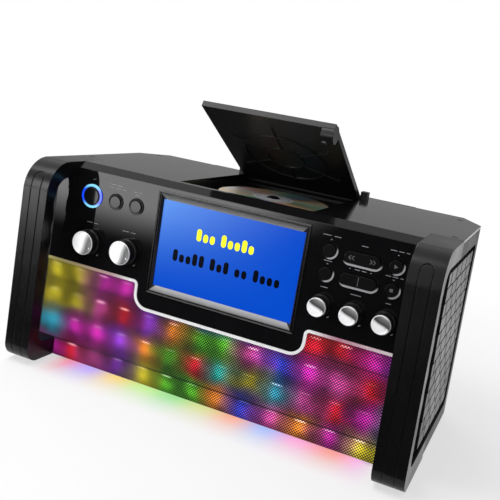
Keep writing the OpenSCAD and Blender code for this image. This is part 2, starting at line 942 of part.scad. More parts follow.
module disc_lid() {
    rib_y = hinge_y - 82;
    color("#0e0e10")
        open_lid()
            difference() {
                union() {
                    translate([-lid_w / 2, hinge_y - lid_l, deck_z - lid_t])
                        cube([lid_w, lid_l, lid_t]);
                    translate([-lid_w / 2, hinge_y, hinge_z])
                        rotate([0, 90, 0])
                            cylinder(r = barrel_r, h = lid_w);
                    translate([0, rib_y, deck_z - lid_t - rib_h]) {
                        for (r = [21, 47])
                            difference() {
                                cylinder(r = r + 0.8, h = rib_h + 1, $fn = 96);
                                translate([0, 0, -1])
                                    cylinder(r = r - 0.8, h = rib_h + 3, $fn = 96);
                            }
                        for (a = [30:60:330])
                            rotate(a)
                                translate([22, -0.8, 0])
                                    cube([44, 1.6, rib_h + 1]);
                    }
                }
                at_ear(ear_d / 2 + run_fit, latch_w + run_fit);
                // Hollows that the hinge pins turn in
                for (s = [-1, 1])
                    translate([s * (lid_w / 2 - 5), hinge_y, hinge_z])
                        rotate([0, 90, 0])
                            cylinder(r = pin_d / 2 + run_fit, h = 11, center = true);
            }
}

// Place of the round ear at the free corner of the lid
module at_ear(r, l) {
    translate([lid_w / 2 - l, hinge_y - lid_l + ear_d / 2, deck_z - ear_d / 2 + 1.5])
        rotate([0, 90, 0])
            cylinder(r = r, h = l);
}

// Round ear at the free corner of the lid, with the catch below it
module lid_latch() {
    color("#1a1a1c")
        open_lid() {
            at_ear(ear_d / 2, latch_w);
            translate([lid_w / 2 - latch_w + 2, hinge_y - lid_l + ear_d / 2 - 2, deck_z - ear_d - 0.5])
                cube([4, 4, 5]);
        }
}

module spindle_motor() {
    color("#9a9da2")
        at_player() {
            translate([0, spindle_y, well_z - well_wall - 16])
                difference() {
                    cylinder(r = hub_r, h = 12);
                    translate([0, 0, 3])
                        cylinder(r = 1.5 + run_fit, h = over);
                }
        }
}

module spindle_hub() {
    platter_z = disc_z - platter_t;
    color("#0c0c0e")
        at_player()
            translate([0, spindle_y, 0]) {
                translate([0, 0, platter_z])
                    cylinder(r = hub_r - 2, h = platter_t);
                translate([0, 0, disc_z - 0.5])
                    cylinder(d = disc_bore - 0.2, h = disc_t + 0.8);
                translate([0, 0, disc_z + disc_t + 0.3])
                    cylinder(d1 = disc_bore - 0.2, d2 = disc_bore - 6, h = 1.6);
                translate([0, 0, well_z - well_wall - 12])
                    cylinder(r = 1.5, h = platter_z - well_z + well_wall + 12.5);
                // Three grips that hold the disc
                for (a = [0:120:240])
                    rotate(a)
                        translate([disc_bore / 2 - 3.2, 0, disc_z + disc_t + 0.3])
                            cylinder(d = 3, h = 1.3);
            }
}

module disc() {
    color("#d9d6e2")
        at_player()
            translate([0, spindle_y, disc_z])
                difference() {
                    cylinder(d = disc_d, h = disc_t, $fn = 128);
                    translate([0, 0, -1])
                        cylinder(d = disc_bore, h = disc_t + 2);
                }
}

module laser_sled() {
    color("#44464a")
        at_player()
            difference() {
                union() {
                    translate([-sled_w / 2, sled_y - sled_d / 2, sled_z - sled_h])
                        cube([sled_w, sled_d, sled_h - 0.5]);
                    translate([-7, lens_y - 4.5, sled_z - 1])
                        cube([14, 9, 3.2]);
                }
                for (x = [-rod_gap / 2, rod_gap / 2])
                    rod_y(x, sled_y - sled_d, rod_z, rod_d / 2 + run_fit, 2 * sled_d);
            }
}

module laser_lens() {
    color("#9fb6e6")
        at_player()
            translate([0, lens_y, sled_z + 2.2])
                cylinder(d1 = 5.5, d2 = 4, h = 1.4);
}

module sled_rods() {
    color("#c3c6ca")
        at_player()
            for (x = [-rod_gap / 2, rod_gap / 2])
                rod_y(x, rod_y0, rod_z, rod_d / 2, rod_y1 - rod_y0);
}

module main_board() {
    color("#1f5a33")
        at_panel() {
            translate([-95, 65, floor_z + 6])
                cube([190, 110, board_t]);
            translate([-60, 120, floor_z + 6 + board_t])
                cube([50, 30, 18]);
            translate([20, 80, floor_z + 6 + board_t])
                cube([26, 26, 3]);
            translate([60, 130, floor_z + 6 + board_t])
                cylinder(d = 16, h = 24);
            translate([-85, 80, floor_z + 6 + board_t])
                cube([10, 24, 14]);
        }
}

// Board with a switch behind each button in the list
module control_board(x0, x1, z0, z1, switches) {
    color("#1f5a33")
        at_panel() {
            difference() {
                translate([x0, board_y, z0])
                    cube([x1 - x0, board_t, z1 - z0]);
                for (p = concat(big_knobs, small_knobs))
                    rod_y(p[0], board_y - 1, p[1], 2, board_t + 2);
            }
            for (p = switches)
                translate([p[0] - 3, board_y - switch_h, p[1] - 3])
                    cube([6, switch_h + board_t / 2, 6]);
        }
}

module potentiometers() {
    color("#8d9095")
        at_panel()
            for (p = concat(big_knobs, small_knobs))
                difference() {
                    union() {
                        rod_y(p[0], pot_y, p[1], 8, board_y - pot_y);
                        rod_y(p[0], 0, p[1], 3.9, pot_y + 1);
                    }
                    rod_y(p[0], -1, p[1], shaft_d / 2 + run_fit, 10);
                }
}

module knob(p, d) {
    r = d / 2;
    l = knob_l - 0.8;
    color("#c9ccd0")
        at_panel()
            difference() {
                translate([p[0], -0.8, p[1]])
                    rotate([90, 0, 0])
                        rotate_extrude()
                            polygon([[0, 0], [r, 0], [r, l * 0.22], [r - 0.7, l * 0.3],
                                [r - 1, l - 1.4], [r - 1.5, l - 0.5], [r - 2.3, l],
                                [r - 3, l - 0.5], [0, l - 0.5]]);
                rod_y(p[0], -knob_l + 4, p[1], shaft_d / 2 + run_fit, knob_l);
                // Mark on the face
                translate([p[0] + (r - 4.2) * cos(-25), -knob_l - 1, p[1] + (r - 4.2) * sin(-25)])
                    rotate([-90, 0, 0])
                        cylinder(r = 0.9, h = 2.2);
            }
}

module shaft(p) {
    color("#b4b7bb")
        at_panel()
            rod_y(p[0], -knob_l + 4.5, p[1], shaft_d / 2, knob_l - 4.5 + 8);
}

module power_ring() {
    color("#2f7bff")
        at_panel()
            difference() {
                rod_y(power_at[0], -1.2, power_at[1], power_ring_d / 2, panel_t + 1.2);
                rod_y(power_at[0], -2, power_at[1], power_d / 2 + fit, panel_t + 4);
            }
}

module power_button() {
    color("#141416")
        at_panel() {
            rod_y(power_at[0], -button_l - 0.6, power_at[1], power_d / 2, panel_t + button_l + 0.9);
            rod_y(power_at[0], panel_t + 0.3, power_at[1], power_d / 2 + 1.5, 1.5);
            rod_y(power_at[0], panel_t + 1, power_at[1], 2, board_y - switch_h - panel_t - 1 - button_travel - fit);
        }
}

// Raised rings round the buttons and bright crescents beside the right ones
module button_rings() {
    color("#8f9296")
        at_panel() {
            for (p = left_buttons)
                difference() {
                    rod_y(p[0], -0.8, p[1], button_d / 2 + 2.7, 0.8);
                    rod_y(p[0], -1, p[1], button_d / 2 + fit, 2);
                }
            for (p = [program_at, vocal_at, play_at, stop_at])
                difference() {
                    rod_y(p[0], -0.6, p[1], button_d / 2 + 2.2, 0.6);
                    rod_y(p[0] - 0.9, -1, p[1] + 0.9, button_d / 2 + 1.6, 2);
                    rod_y(p[0], -1, p[1], button_d / 2 + fit, 2);
                }
            for (p = rockers)
                translate([p[0], 0, p[1]])
                    plate(-0.6, 0.6)
                        difference() {
                            stadium(rocker_l + 5, rocker_h + 5);
                            translate([-1.2, 1.2])
                                stadium(rocker_l + 3.6, rocker_h + 3.6);
                            stadium(rocker_l + 1.4, rocker_h + 1);
                        }
        }
}

module round_button(p) {
    stem = board_y - switch_h - button_travel - fit;
    color("#17171a")
        at_panel() {
            rod_y(p[0], -button_l, p[1], button_d / 2, button_l + panel_t + 0.3);
            rod_y(p[0], panel_t + 0.3, p[1], button_d / 2 + 1.2, 1.2);
            rod_y(p[0], panel_t + 1, p[1], 1.8, stem - panel_t - 1);
        }
}

module rocker(p) {
    color("#17171a")
        at_panel() {
            translate([p[0], 0, p[1]])
                plate(-button_l, button_l + panel_t + 1)
                    stadium(rocker_l, rocker_h);
            translate([p[0], rocker_axis_y, p[1] - rocker_h / 2 - 3.5])
                cylinder(r = pivot_r, h = rocker_h + 7);
            translate([p[0] - 2, panel_t, p[1] - 3])
                cube([4, 4, 6]);
            // Pegs that press the two switches
            for (s = [-1, 1])
                rod_y(p[0] + s * peg_x, panel_t, p[1], 1.5, peg_y - panel_t);
        }
}

module rubber_feet() {
    color("#2b2b2b")
        at_panel()
            for (s = [-1, 1], p = feet_at)
                translate([s * p[0], p[1], 0])
                    cylinder(r1 = 9, r2 = 10, h = base_z);
}

module case_screws() {
    color("#55585c")
        at_panel() {
            for (s = [-1, 1], p = deck_screws)
                translate([s * p[0], p[1], deck_z]) {
                    translate([0, 0, -1.3])
                        cylinder(d = 2 * screw_d, h = 1);
                    translate([0, 0, -8])
                        cylinder(d = screw_d, h = 7);
                }
            for (s = [-1, 1], p = back_screws) {
                rod_y(s * p[0], cab_d, p[1], screw_d, 1.4);
                rod_y(s * p[0], cab_d - 10, p[1], screw_d / 2, 10.5);
            }
            for (s = [-1, 1], p = feet_at)
                translate([s * p[0], p[1], base_z])
                    cylinder(d = screw_d, h = base_t + 3);
        }
}

module power_inlet() {
    color("#111113")
        at_panel()
            difference() {
                union() {
                    translate([inlet_x - inlet_w / 2 + fit, cab_d - 16, inlet_z - inlet_h / 2 + fit])
                        cube([inlet_w - 2 * fit, 16, inlet_h - 2 * fit]);
                    translate([inlet_x - inlet_w / 2 - 3, cab_d, inlet_z - inlet_h / 2 - 3])
                        cube([inlet_w + 6, 1.6, inlet_h + 6]);
                }
                translate([inlet_x, cab_d - 11, inlet_z])
                    plate(0, 20)
                        stadium(15, 9);
            }
}

// Two microphone sockets and three signal sockets on one plate
module rear_jacks() {
    color("#1a1a1c")
        at_panel()
            difference() {
                union() {
                    translate([jack_x - jack_w / 2 + fit, cab_d - 18, jack_z - jack_h / 2 + fit])
                        cube([jack_w - 2 * fit, 18, jack_h - 2 * fit]);
                    translate([jack_x - jack_w / 2 - 3, cab_d, jack_z - jack_h / 2 - 3])
                        cube([jack_w + 6, 1.6, jack_h + 6]);
                    for (i = [0, 1])
                        rod_y(jack_x - 32 + i * 20, cab_d, jack_z, 6.5, 4);
                    for (i = [0:2])
                        rod_y(jack_x + 6 + i * 14, cab_d, jack_z, 4.2, 8);
                }
                for (i = [0, 1])
                    rod_y(jack_x - 32 + i * 20, cab_d - 14, jack_z, 3.3, 20);
                for (i = [0:2])
                    rod_y(jack_x + 6 + i * 14, cab_d + 2, jack_z, 1.6, 7);
            }
}

module tablet_ledge() {
    z = deck_z - ledge_d;
    color("#232325")
        at_panel() {
            span(-ledge_w / 2, ledge_w / 2)
                polygon([[cab_d, z - ledge_t], [cab_d + ledge_gap + ledge_t, z - ledge_t],
                    [cab_d + ledge_out, deck_z - 2], [cab_d + ledge_gap + ledge_lean, deck_z - 2],
                    [cab_d + ledge_gap, z], [cab_d, z]]);
            // End walls and the ribs below
            for (x = [-ledge_w / 2 - 2, ledge_w / 2])
                translate([x, cab_d, z - ledge_t])
                    cube([2, ledge_gap + ledge_t, ledge_d]);
            for (x = [-ledge_w / 2, -ledge_w / 6, ledge_w / 6, ledge_w / 2 - 2])
                span(x, x + 2)
                    polygon([[cab_d, z - 16], [cab_d + ledge_gap, z - ledge_t], [cab_d, z - ledge_t]]);
        }
}

base_plate();
side_panel(-1);  // left_side
side_panel(1);  // right_side
back_panel();
top_deck();
control_panel();
handle(-1);  // left_handle
handle(1);  // right_handle
side_grille(-1);  // left_side_grille
side_grille(1);  // right_side_grille
screen_surround();
screen_panel();
window_trim();
mesh_front();
light_diffuser();
light_board();
front_baffle();
speaker(-1);  // left_speaker
speaker(1);  // right_speaker
disc_well();
lid_hinge_pins();
spindle_motor();
sled_rods();
main_board();
control_board(-182, -88, 124, 205, concat(left_buttons, [power_at]));  // left_control_board
control_board(89, 183, 124, 203, concat([program_at, vocal_at, play_at, stop_at], rocker_switches));  // right_control_board
potentiometers();
power_ring();
button_rings();
rubber_feet();
case_screws();
power_inlet();
rear_jacks();
tablet_ledge();
disc_lid();
lid_latch();
spindle_hub();
disc();
laser_sled();
laser_lens();
knob(big_knobs[0], big_knob_d);  // music_knob
knob(big_knobs[1], big_knob_d);  // mic_knob
knob(small_knobs[0], small_knob_d);  // echo_knob
knob(small_knobs[1], small_knob_d);  // balance_knob
knob(small_knobs[2], small_knob_d);  // tone_knob
shaft(big_knobs[0]);  // music_shaft
shaft(big_knobs[1]);  // mic_shaft
shaft(small_knobs[0]);  // echo_shaft
shaft(small_knobs[1]);  // balance_shaft
shaft(small_knobs[2]);  // tone_shaft
power_button();
round_button(left_buttons[0]);  // mode_button
round_button(left_buttons[1]);  // input_button
round_button(program_at);  // program_button
round_button(vocal_at);  // vocal_button
round_button(play_at);  // play_button
round_button(stop_at);  // stop_button
rocker(rockers[0]);  // skip_rocker
rocker(rockers[1]);  // key_rocker
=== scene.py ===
import math
import bmesh
import bpy
from mathutils import Matrix, Vector


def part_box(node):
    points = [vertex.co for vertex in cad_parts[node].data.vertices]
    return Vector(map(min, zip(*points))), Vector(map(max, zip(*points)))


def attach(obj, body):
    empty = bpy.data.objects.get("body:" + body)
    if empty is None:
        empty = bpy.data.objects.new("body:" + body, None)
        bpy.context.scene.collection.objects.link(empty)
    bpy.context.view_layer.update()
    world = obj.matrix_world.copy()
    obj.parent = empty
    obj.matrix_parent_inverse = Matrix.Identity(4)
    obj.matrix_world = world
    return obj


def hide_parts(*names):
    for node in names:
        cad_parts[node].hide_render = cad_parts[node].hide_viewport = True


# The machine as the CAD frame holds it: metres, Z up, feet on the ground and the lid open.
# The boxes of its nodes give the places that are used below.
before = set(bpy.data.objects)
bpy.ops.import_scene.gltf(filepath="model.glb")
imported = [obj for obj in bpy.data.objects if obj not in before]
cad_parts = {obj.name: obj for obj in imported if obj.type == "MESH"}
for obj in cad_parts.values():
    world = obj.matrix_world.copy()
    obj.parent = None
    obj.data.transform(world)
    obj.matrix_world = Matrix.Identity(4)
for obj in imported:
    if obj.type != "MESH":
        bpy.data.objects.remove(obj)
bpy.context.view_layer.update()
MM = 0.001


def box_middle(node):
    low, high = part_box(node)
    return (low + high) / 2


# The viewpoint: a camera in front of the machine, right of its middle and a little above it,
# turned slightly to the left as in the studio picture.
camera_data = bpy.data.cameras.new("Camera")
camera_data.lens = 54.19
camera_data.sensor_width = 36
camera = bpy.data.objects.new("Camera", camera_data)
camera_right = Vector((0.9027, 0.4003, 0.1578))
camera_down = Vector((0.2296, -0.1381, -0.9634))
camera_ahead = Vector((-0.3639, 0.9059, -0.2166))
camera.matrix_world = Matrix((camera_right, -camera_down, -camera_ahead)).transposed().to_4x4()
camera.matrix_world.translation = (0.2887, -0.7474, 0.3310)
bpy.context.scene.collection.objects.link(camera)
bpy.context.scene.camera = camera


# The studio: a white floor that keeps the machine's shadow and fades into a white surround,
# a large soft lamp above on the left, small ones behind and in front, and two gloss cards.
def add(tree, kind, **settings):
    made = tree.nodes.new(kind)
    for name, value in settings.items():
        setattr(made, name, value)
    return made


def calc(tree, operation, *values):
    made = add(tree, "ShaderNodeMath", operation=operation)
    for socket, value in zip(made.inputs, values):
        if isinstance(value, (int, float)):
            socket.default_value = value
        else:
            tree.links.new(value, socket)
    return made.outputs[0]


def spread(tree, value, low, high, to_low=0.0, to_high=1.0, smooth=True):
    made = add(tree, "ShaderNodeMapRange")
    made.interpolation_type = "SMOOTHSTEP" if smooth else "LINEAR"
    tree.links.new(value, made.inputs["Value"])
    for name, number in (("From Min", low), ("From Max", high), ("To Min", to_low), ("To Max", to_high)):
        made.inputs[name].default_value = number
    return made.outputs["Result"]


def object_point(tree):
    return add(tree, "ShaderNodeTexCoord").outputs["Object"]


def place_on(tree):
    """The point on the object's own axes, split into X, Y and Z."""
    made = add(tree, "ShaderNodeSeparateXYZ")
    tree.links.new(object_point(tree), made.inputs[0])
    return made.outputs


def mixed(tree, factor, low, high, blend_type="MIX"):
    """A colour between two others, each a fixed one or a socket."""
    made = add(tree, "ShaderNodeMix", data_type="RGBA", blend_type=blend_type)
    for socket, value in zip((made.inputs[0], made.inputs[6], made.inputs[7]), (factor, low, high)):
        if isinstance(value, bpy.types.NodeSocket):
            tree.links.new(value, socket)
        else:
            socket.default_value = (*value, 1) if isinstance(value, tuple) else value
    return made.outputs[2]


def colour_ramp(tree, factor, stops, interpolation="LINEAR"):
    """A colour for each part of the way, from (position, colour) stops."""
    made = add(tree, "ShaderNodeValToRGB")
    elements = made.color_ramp.elements
    made.color_ramp.interpolation = interpolation
    elements.remove(elements[-1])
    for k, (position, colour) in enumerate(stops):
        stop = elements[0] if k == 0 else elements.new(position)
        stop.position = position
        stop.color = (*colour, 1)
    tree.links.new(factor, made.inputs["Fac"])
    return made.outputs["Color"]


def seen_directly(tree):
    rays = add(tree, "ShaderNodeLightPath")
    mirrored = calc(tree, "MAXIMUM", rays.outputs["Is Glossy Ray"], rays.outputs["Is Transmission Ray"])
    return calc(tree, "MAXIMUM", rays.outputs["Is Camera Ray"], mirrored)


def sheet(name, corners):
    mesh = bpy.data.meshes.new(name)
    mesh.from_pydata(corners, [], [tuple(range(len(corners)))])
    made = bpy.data.objects.new(name, mesh)
    bpy.context.scene.collection.objects.link(made)
    return made


FLOOR_HALF = 4.0
# The corners of a square, once round
CORNERS = ((-1, -1), (1, -1), (1, 1), (-1, 1))
floor = sheet("Studio_Floor", [(x * FLOOR_HALF, y * FLOOR_HALF, 0) for x, y in CORNERS])
floor_white = bpy.data.materials.new("Floor_White")
floor_white.use_nodes = True
tree = floor_white.node_tree
tree.nodes.clear()
paper = add(tree, "ShaderNodeBsdfDiffuse")
paper.inputs["Color"].default_value = (0.9, 0.9, 0.9, 1)
shine = add(tree, "ShaderNodeEmission")
distance = add(tree, "ShaderNodeVectorMath", operation="LENGTH")
tree.links.new(object_point(tree), distance.inputs[0])
# The floor turns from paper to plain white light between these distances from the machine
FADE_FROM = 0.3
FADE_TO = 0.85
faded = spread(tree, distance.outputs["Value"], FADE_FROM, FADE_TO, 0.6, 1.0)
# Painted coloured light on the floor, as the lit front would spill it, from left to right. It
# reaches a little way forward, ends just under the front and fades towards both handles.
front_low, front_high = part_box("mesh_front")
place = place_on(tree)
SPILL = ((1, 0.35, 0.8), (1, 0.2, 0.3), (0.5, 0.35, 1), (1, 0.7, 0.15), (0.55, 0.9, 0.25), (0.3, 0.8, 0.25),
         (0.7, 0.75, 0.25), (1, 0.4, 0.25), (0.35, 0.5, 1), (1, 0.35, 0.7), (1, 0.3, 0.25), (1, 0.45, 0.9),
         (1, 0.85, 0.15))
SPILL_REACH = 0.055
SPILL_EDGE = 0.002
SPILL_UNDER = 0.03
END_FROM = 0.045
END_TO = 0.02
spilled = [(k / (len(SPILL) - 1), shade) for k, shade in enumerate(SPILL)]
across = spread(tree, place["X"], front_low.x, front_high.x, 0, 1, False)
painted_spill = colour_ramp(tree, across, spilled, "EASE")
reach = spread(tree, place["Y"], front_low.y - SPILL_REACH, front_low.y + SPILL_EDGE)
under = spread(tree, place["Y"], front_low.y + SPILL_EDGE, front_low.y + SPILL_UNDER, 1.0, 0.0)
reach = calc(tree, "MULTIPLY", reach, under)
sideways = calc(tree, "ABSOLUTE", place["X"])
ends = spread(tree, sideways, front_high.x - END_FROM, front_high.x - END_TO, 0.9, 0.0)
reach = calc(tree, "MULTIPLY", reach, ends)
tree.links.new(mixed(tree, reach, (1, 1, 1), painted_spill), shine.inputs["Color"])
faded = calc(tree, "MAXIMUM", faded, reach)
blend = add(tree, "ShaderNodeMixShader")
tree.links.new(calc(tree, "MULTIPLY", faded, seen_directly(tree)), blend.inputs["Fac"])
tree.links.new(paper.outputs[0], blend.inputs[1])
tree.links.new(shine.outputs[0], blend.inputs[2])
tree.links.new(blend.outputs[0], add(tree, "ShaderNodeOutputMaterial").inputs["Surface"])
floor.data.materials.append(floor_white)

world = bpy.data.worlds.new("Studio_Surround")
bpy.context.scene.world = world
world.use_nodes = True
tree = world.node_tree
tree.nodes["Background"].inputs["Color"].default_value = (1, 1, 1, 1)
# Strength of the surround's light on the machine. Seen directly or mirrored it is a plain 1.
SURROUND_LIGHT = 0.55
strength = calc(tree, "MULTIPLY_ADD", seen_directly(tree), 1 - SURROUND_LIGHT, SURROUND_LIGHT)
tree.links.new(strength, tree.nodes["Background"].inputs["Strength"])


def soft_lamp(name, place, target, size, power):
    lamp = bpy.data.lights.new(name, "AREA")
    lamp.energy = power
    lamp.size = size
    made = bpy.data.objects.new(name, lamp)
    made.location = place
    made.rotation_euler = (Vector(target) - Vector(place)).to_track_quat("-Z", "Y").to_euler()
    bpy.context.scene.collection.objects.link(made)


soft_lamp("Top_Lamp", place=(-0.45, -0.4, 1.2), target=(0, 0, 0.1), size=0.8, power=9)
soft_lamp("Back_Lamp", place=(-0.5, 0.9, 0.9), target=(0, 0, 0.2), size=0.5, power=3)
soft_lamp("Front_Lamp", place=(-0.9, -1.2, 0.5), target=(0, 0, 0.15), size=0.5, power=6)


def gloss_card(name, corners):
    """A card that only gloss sees. Gives its node tree and the socket of its strength."""
    made = sheet(name, corners)
    for kind in ("camera", "diffuse", "transmission", "shadow"):
        setattr(made, "visible_" + kind, False)
    shade = bpy.data.materials.new(name)
    shade.use_nodes = True
    shade.node_tree.nodes.clear()
    light = add(shade.node_tree, "ShaderNodeEmission")
    surface = add(shade.node_tree, "ShaderNodeOutputMaterial").inputs["Surface"]
    shade.node_tree.links.new(light.outputs[0], surface)
    made.data.materials.append(shade)
    return shade.node_tree, light.inputs["Strength"]


# The front card lies just over the floor, black but bright far out on the left, so that the
# panel shades from grey to black. The grey card stands behind and dims the deck.
left, right, far, near, over = -2.4, 1.6, -3.0, -0.16, 0.002
tree, strength = gloss_card("Front_Card", [(left, far, over), (right, far, over), (right, near, over),
                                           (left, near, over)])
place = place_on(tree)
outward = spread(tree, place["Y"], -0.6, -1.0, 0.0, 1.0)
leftward = spread(tree, place["X"], -0.2, -0.52, 0.0, 1.0)
BRIGHT_END = 8.0
BLACK_END = 0.02
bright_part = calc(tree, "MULTIPLY", outward, leftward)
tree.links.new(calc(tree, "MULTIPLY_ADD", bright_part, BRIGHT_END, BLACK_END), strength)
left, right, behind, top = -3, 3, 1.7, 1.5
tree, strength = gloss_card("Rear_Card", [(left, behind, 0), (right, behind, 0), (right, behind, top),
                                          (left, behind, top)])
strength.default_value = 0.4
bpy.context.scene.view_settings.view_transform = "Standard"


# Cabinet: side panels, back, base plate and rear ledge, injection moulded in black
# plastic with a fine satin skin, and held together with screws from behind.
def start(name):
    made = bpy.data.materials.new(name)
    made.use_nodes = True
    return made, made.node_tree, made.node_tree.nodes["Principled BSDF"]


# Part of its range that a noise really covers
NOISE_SPAN = (0.3, 0.7)


def noise(tree, point, scale, detail):
    made = add(tree, "ShaderNodeTexNoise")
    made.inputs["Scale"].default_value = scale
    made.inputs["Detail"].default_value = detail
    tree.links.new(point, made.inputs["Vector"])
    return made.outputs["Fac"]


def patchy(tree, scale, detail, low, high):
    """A value that changes a little from place to place, between two others."""
    return spread(tree, noise(tree, object_point(tree), scale, detail), *NOISE_SPAN, low, high)


def moulded(name, colour, roughness, skin=0.6, depth=0.02, edge=0.0, specular=0.5, uneven=0.05, metallic=0.0):
    """Moulded or cast: a skin of the given size and depth, uneven gloss and softened edges, in mm."""
    made, tree, shader = start(name)
    point = object_point(tree)
    patches = noise(tree, point, 18, 4)
    dark = tuple(c * 0.8 for c in colour)
    light = tuple(c * 1.25 for c in colour)
    tree.links.new(mixed(tree, patches, dark, light), shader.inputs["Base Color"])
    tree.links.new(spread(tree, patches, *NOISE_SPAN, roughness - uneven, roughness + uneven),
                   shader.inputs["Roughness"])
    shader.inputs["Specular IOR Level"].default_value = specular
    shader.inputs["Metallic"].default_value = metallic
    bump = add(tree, "ShaderNodeBump")
    bump.inputs["Distance"].default_value = depth * MM
    tree.links.new(noise(tree, point, 1 / (skin * MM), 2), bump.inputs["Height"])
    if edge:
        bevel = add(tree, "ShaderNodeBevel", samples=4)
        bevel.inputs["Radius"].default_value = edge * MM
        tree.links.new(bevel.outputs[0], bump.inputs["Normal"])
    tree.links.new(bump.outputs[0], shader.inputs["Normal"])
    return made


def dress(material, *nodes):
    for node in nodes:
        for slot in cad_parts[node].material_slots:
            slot.material = material


satin_housing = moulded("Satin_Housing", (0.005, 0.005, 0.0055), 0.4, skin=0.5, depth=0.03, edge=0.6,
                        specular=0.22)
dress(satin_housing, "left_side", "right_side", "back_panel", "base_plate", "tablet_ledge")

# Grab handles: thick C-shaped grips in front of both sides, moulded in satin charcoal plastic,
# with two fine lines moulded down the front and scallops for the fingers behind.
satin_grip = moulded("Satin_Grip", (0.004, 0.004, 0.0045), 0.27, skin=0.7, depth=0.012, edge=1.0,
                     specular=0.22)
dress(satin_grip, "left_handle", "right_handle")

# Side grilles: sheets with a relief of bricks in running bond, set into a pocket of each
# side panel. The bricks are satin, and the gaps between them lie in shadow.
satin_brick = moulded("Satin_Brick", (0.006, 0.006, 0.0065), 0.3, skin=0.6, depth=0.02, edge=0.6,
                      specular=0.3)
dress(satin_brick, "left_side_grille", "right_side_grille")

# Deck: one gloss black moulding with a sloped front edge, polished, with faint wiping marks.
# Four dark screws hold it down.
gloss_deck = moulded("Gloss_Deck", (0.005, 0.005, 0.0055), 0.12, skin=3.0, depth=0.004, edge=0.5,
                     specular=0.16, uneven=0.03)
dress(gloss_deck, "top_deck")
dark_screw = moulded("Dark_Screw", (0.05, 0.05, 0.052), 0.35, skin=0.4, depth=0.02, metallic=0.9)
dress(dark_screw, "case_screws")

# Control panel: a deep gloss black plate that dips under the screen. It carries fine grey
# print, a few short dashes over each key and knob.
gloss_panel = moulded("Gloss_Panel", (0.004, 0.004, 0.0045), 0.045, skin=4.0, depth=0.002, edge=0.4,
                      specular=0.25, uneven=0.01)
dress(gloss_panel, "control_panel")
PANEL_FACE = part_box("control_panel")[0].y
PRINT = 0.08 * MM


def linked(name, mesh):
    """A piece of the scene from a bmesh, which is freed."""
    data = bpy.data.meshes.new(name)
    mesh.to_mesh(data)
    mesh.free()
    made = bpy.data.objects.new(name, data)
    bpy.context.scene.collection.objects.link(made)
    return made


def flat_piece(name, outlines, front, thickness, material, body):
    """Thin flat shapes that face the front, from outlines of (x, z) points in metres."""
    mesh = bmesh.new()
    for outline in outlines:
        near = [mesh.verts.new((x, front, z)) for x, z in outline]
        far = [mesh.verts.new((x, front + thickness, z)) for x, z in outline]
        mesh.faces.new(near)
        mesh.faces.new(far[::-1])
        for i in range(len(outline)):
            k = (i + 1) % len(outline)
            mesh.faces.new((near[k], near[i], far[i], far[k]))
    bmesh.ops.recalc_face_normals(mesh, faces=mesh.faces)
    made = linked(name, mesh)
    made.data.materials.append(material)
    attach(made, body)


def bar(x, z, width, height):
    return [(x + a * width / 2, z + b * height / 2) for a, b in CORNERS]


grey_print = moulded("Grey_Print", (0.2, 0.2, 0.21), 0.5, skin=0.3, depth=0.01)
ROUND_KEYS = ("mode_button", "input_button", "program_button", "vocal_button", "play_button", "stop_button")
KNOBS = ("music_knob", "mic_knob", "echo_knob", "balance_knob", "tone_knob")
# Dashes over a control: (shift to the right, shift up, length) in mm
DASHES = {"mode_button": [(-5.5, 17.4, 7), (3, 17.4, 6), (-7, 14.2, 5), (0.5, 14.2, 6), (8, 14.2, 4)],
          "input_button": [(-3, 14.6, 5), (3.5, 14.6, 4), (0, 11.6, 6)],
          "program_button": [(-5, 14, 8), (5, 14, 6.5), (0, 10.4, 1.6)],
          "vocal_button": [(0, 12.2, 8), (0, 9.4, 1.6)],
          "play_button": [(-5, 14, 6), (2, 14, 5), (8, 14, 3), (0, 10.4, 1.6)],
          "stop_button": [(-5.5, 12.2, 5), (1, 12.2, 5), (7, 12.2, 3), (0, 9.4, 1.6)],
          "skip_rocker": [(0, 12.4, 6)],
          "key_rocker": [(-10, 10.4, 1.4), (-3, 10.4, 5), (3.5, 10.4, 4.5), (10, 10.4, 1.4)],
          "music_knob": [(-3, 20.5, 7), (5, 20.5, 5)],
          "mic_knob": [(-4, 20.5, 8), (5, 20.5, 6)],
          "echo_knob": [(0, 17, 7)],
          "balance_knob": [(0, 17, 10)],
          "tone_knob": [(0, 17, 5)],
          "power_button": [(0, 17.5, 1.4), (1.8, 18.4, 1.2)]}
DASH_HEIGHT = 0.6 * MM
dashes = []
for control, row in DASHES.items():
    middle = box_middle(control)
    dashes += [bar(middle.x + x * MM, middle.z + z * MM, length * MM, DASH_HEIGHT) for x, z, length in row]
flat_piece("Panel_Print", dashes, PANEL_FACE - PRINT, PRINT, grey_print, "cabinet")

# Screen: a lit display behind a frame with an outer lip, a dark channel and a bevel. The frame's
# greys are painted light and shade: painted highlights on the wide bevels above and below, brighter
# below, and painted shade that keeps the narrow ones at the sides black.
screen_middle = box_middle("screen_surround")
frame_low, frame_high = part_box("screen_surround")
panel_low, panel_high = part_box("screen_panel")
# Steps of the frame from outside to the picture: (inset in mm, depth behind the frame's front in mm)
FRAME_STEPS = [(0, 1.6), (0, 0.3), (0.3, 0), (1.7, 0), (1.9, 1.2), (2.7, 1.2), (2.9, 0), (3.3, 0), (5, 2.9)]
PICTURE_INSET = 5
PICTURE_INSET_Z = 8.4
# Part of the way in at which the bevels above and below begin to widen
WIDENING = 0.66
FRAME_HALF_X = (frame_high.x - frame_low.x) / 2
FRAME_HALF_Z = (frame_high.z - frame_low.z) / 2
# Inset of the back edge, and depth at which the back meets the panel, in mm
BACK_INSET = 3.2
BACK_DEPTH = 1.6


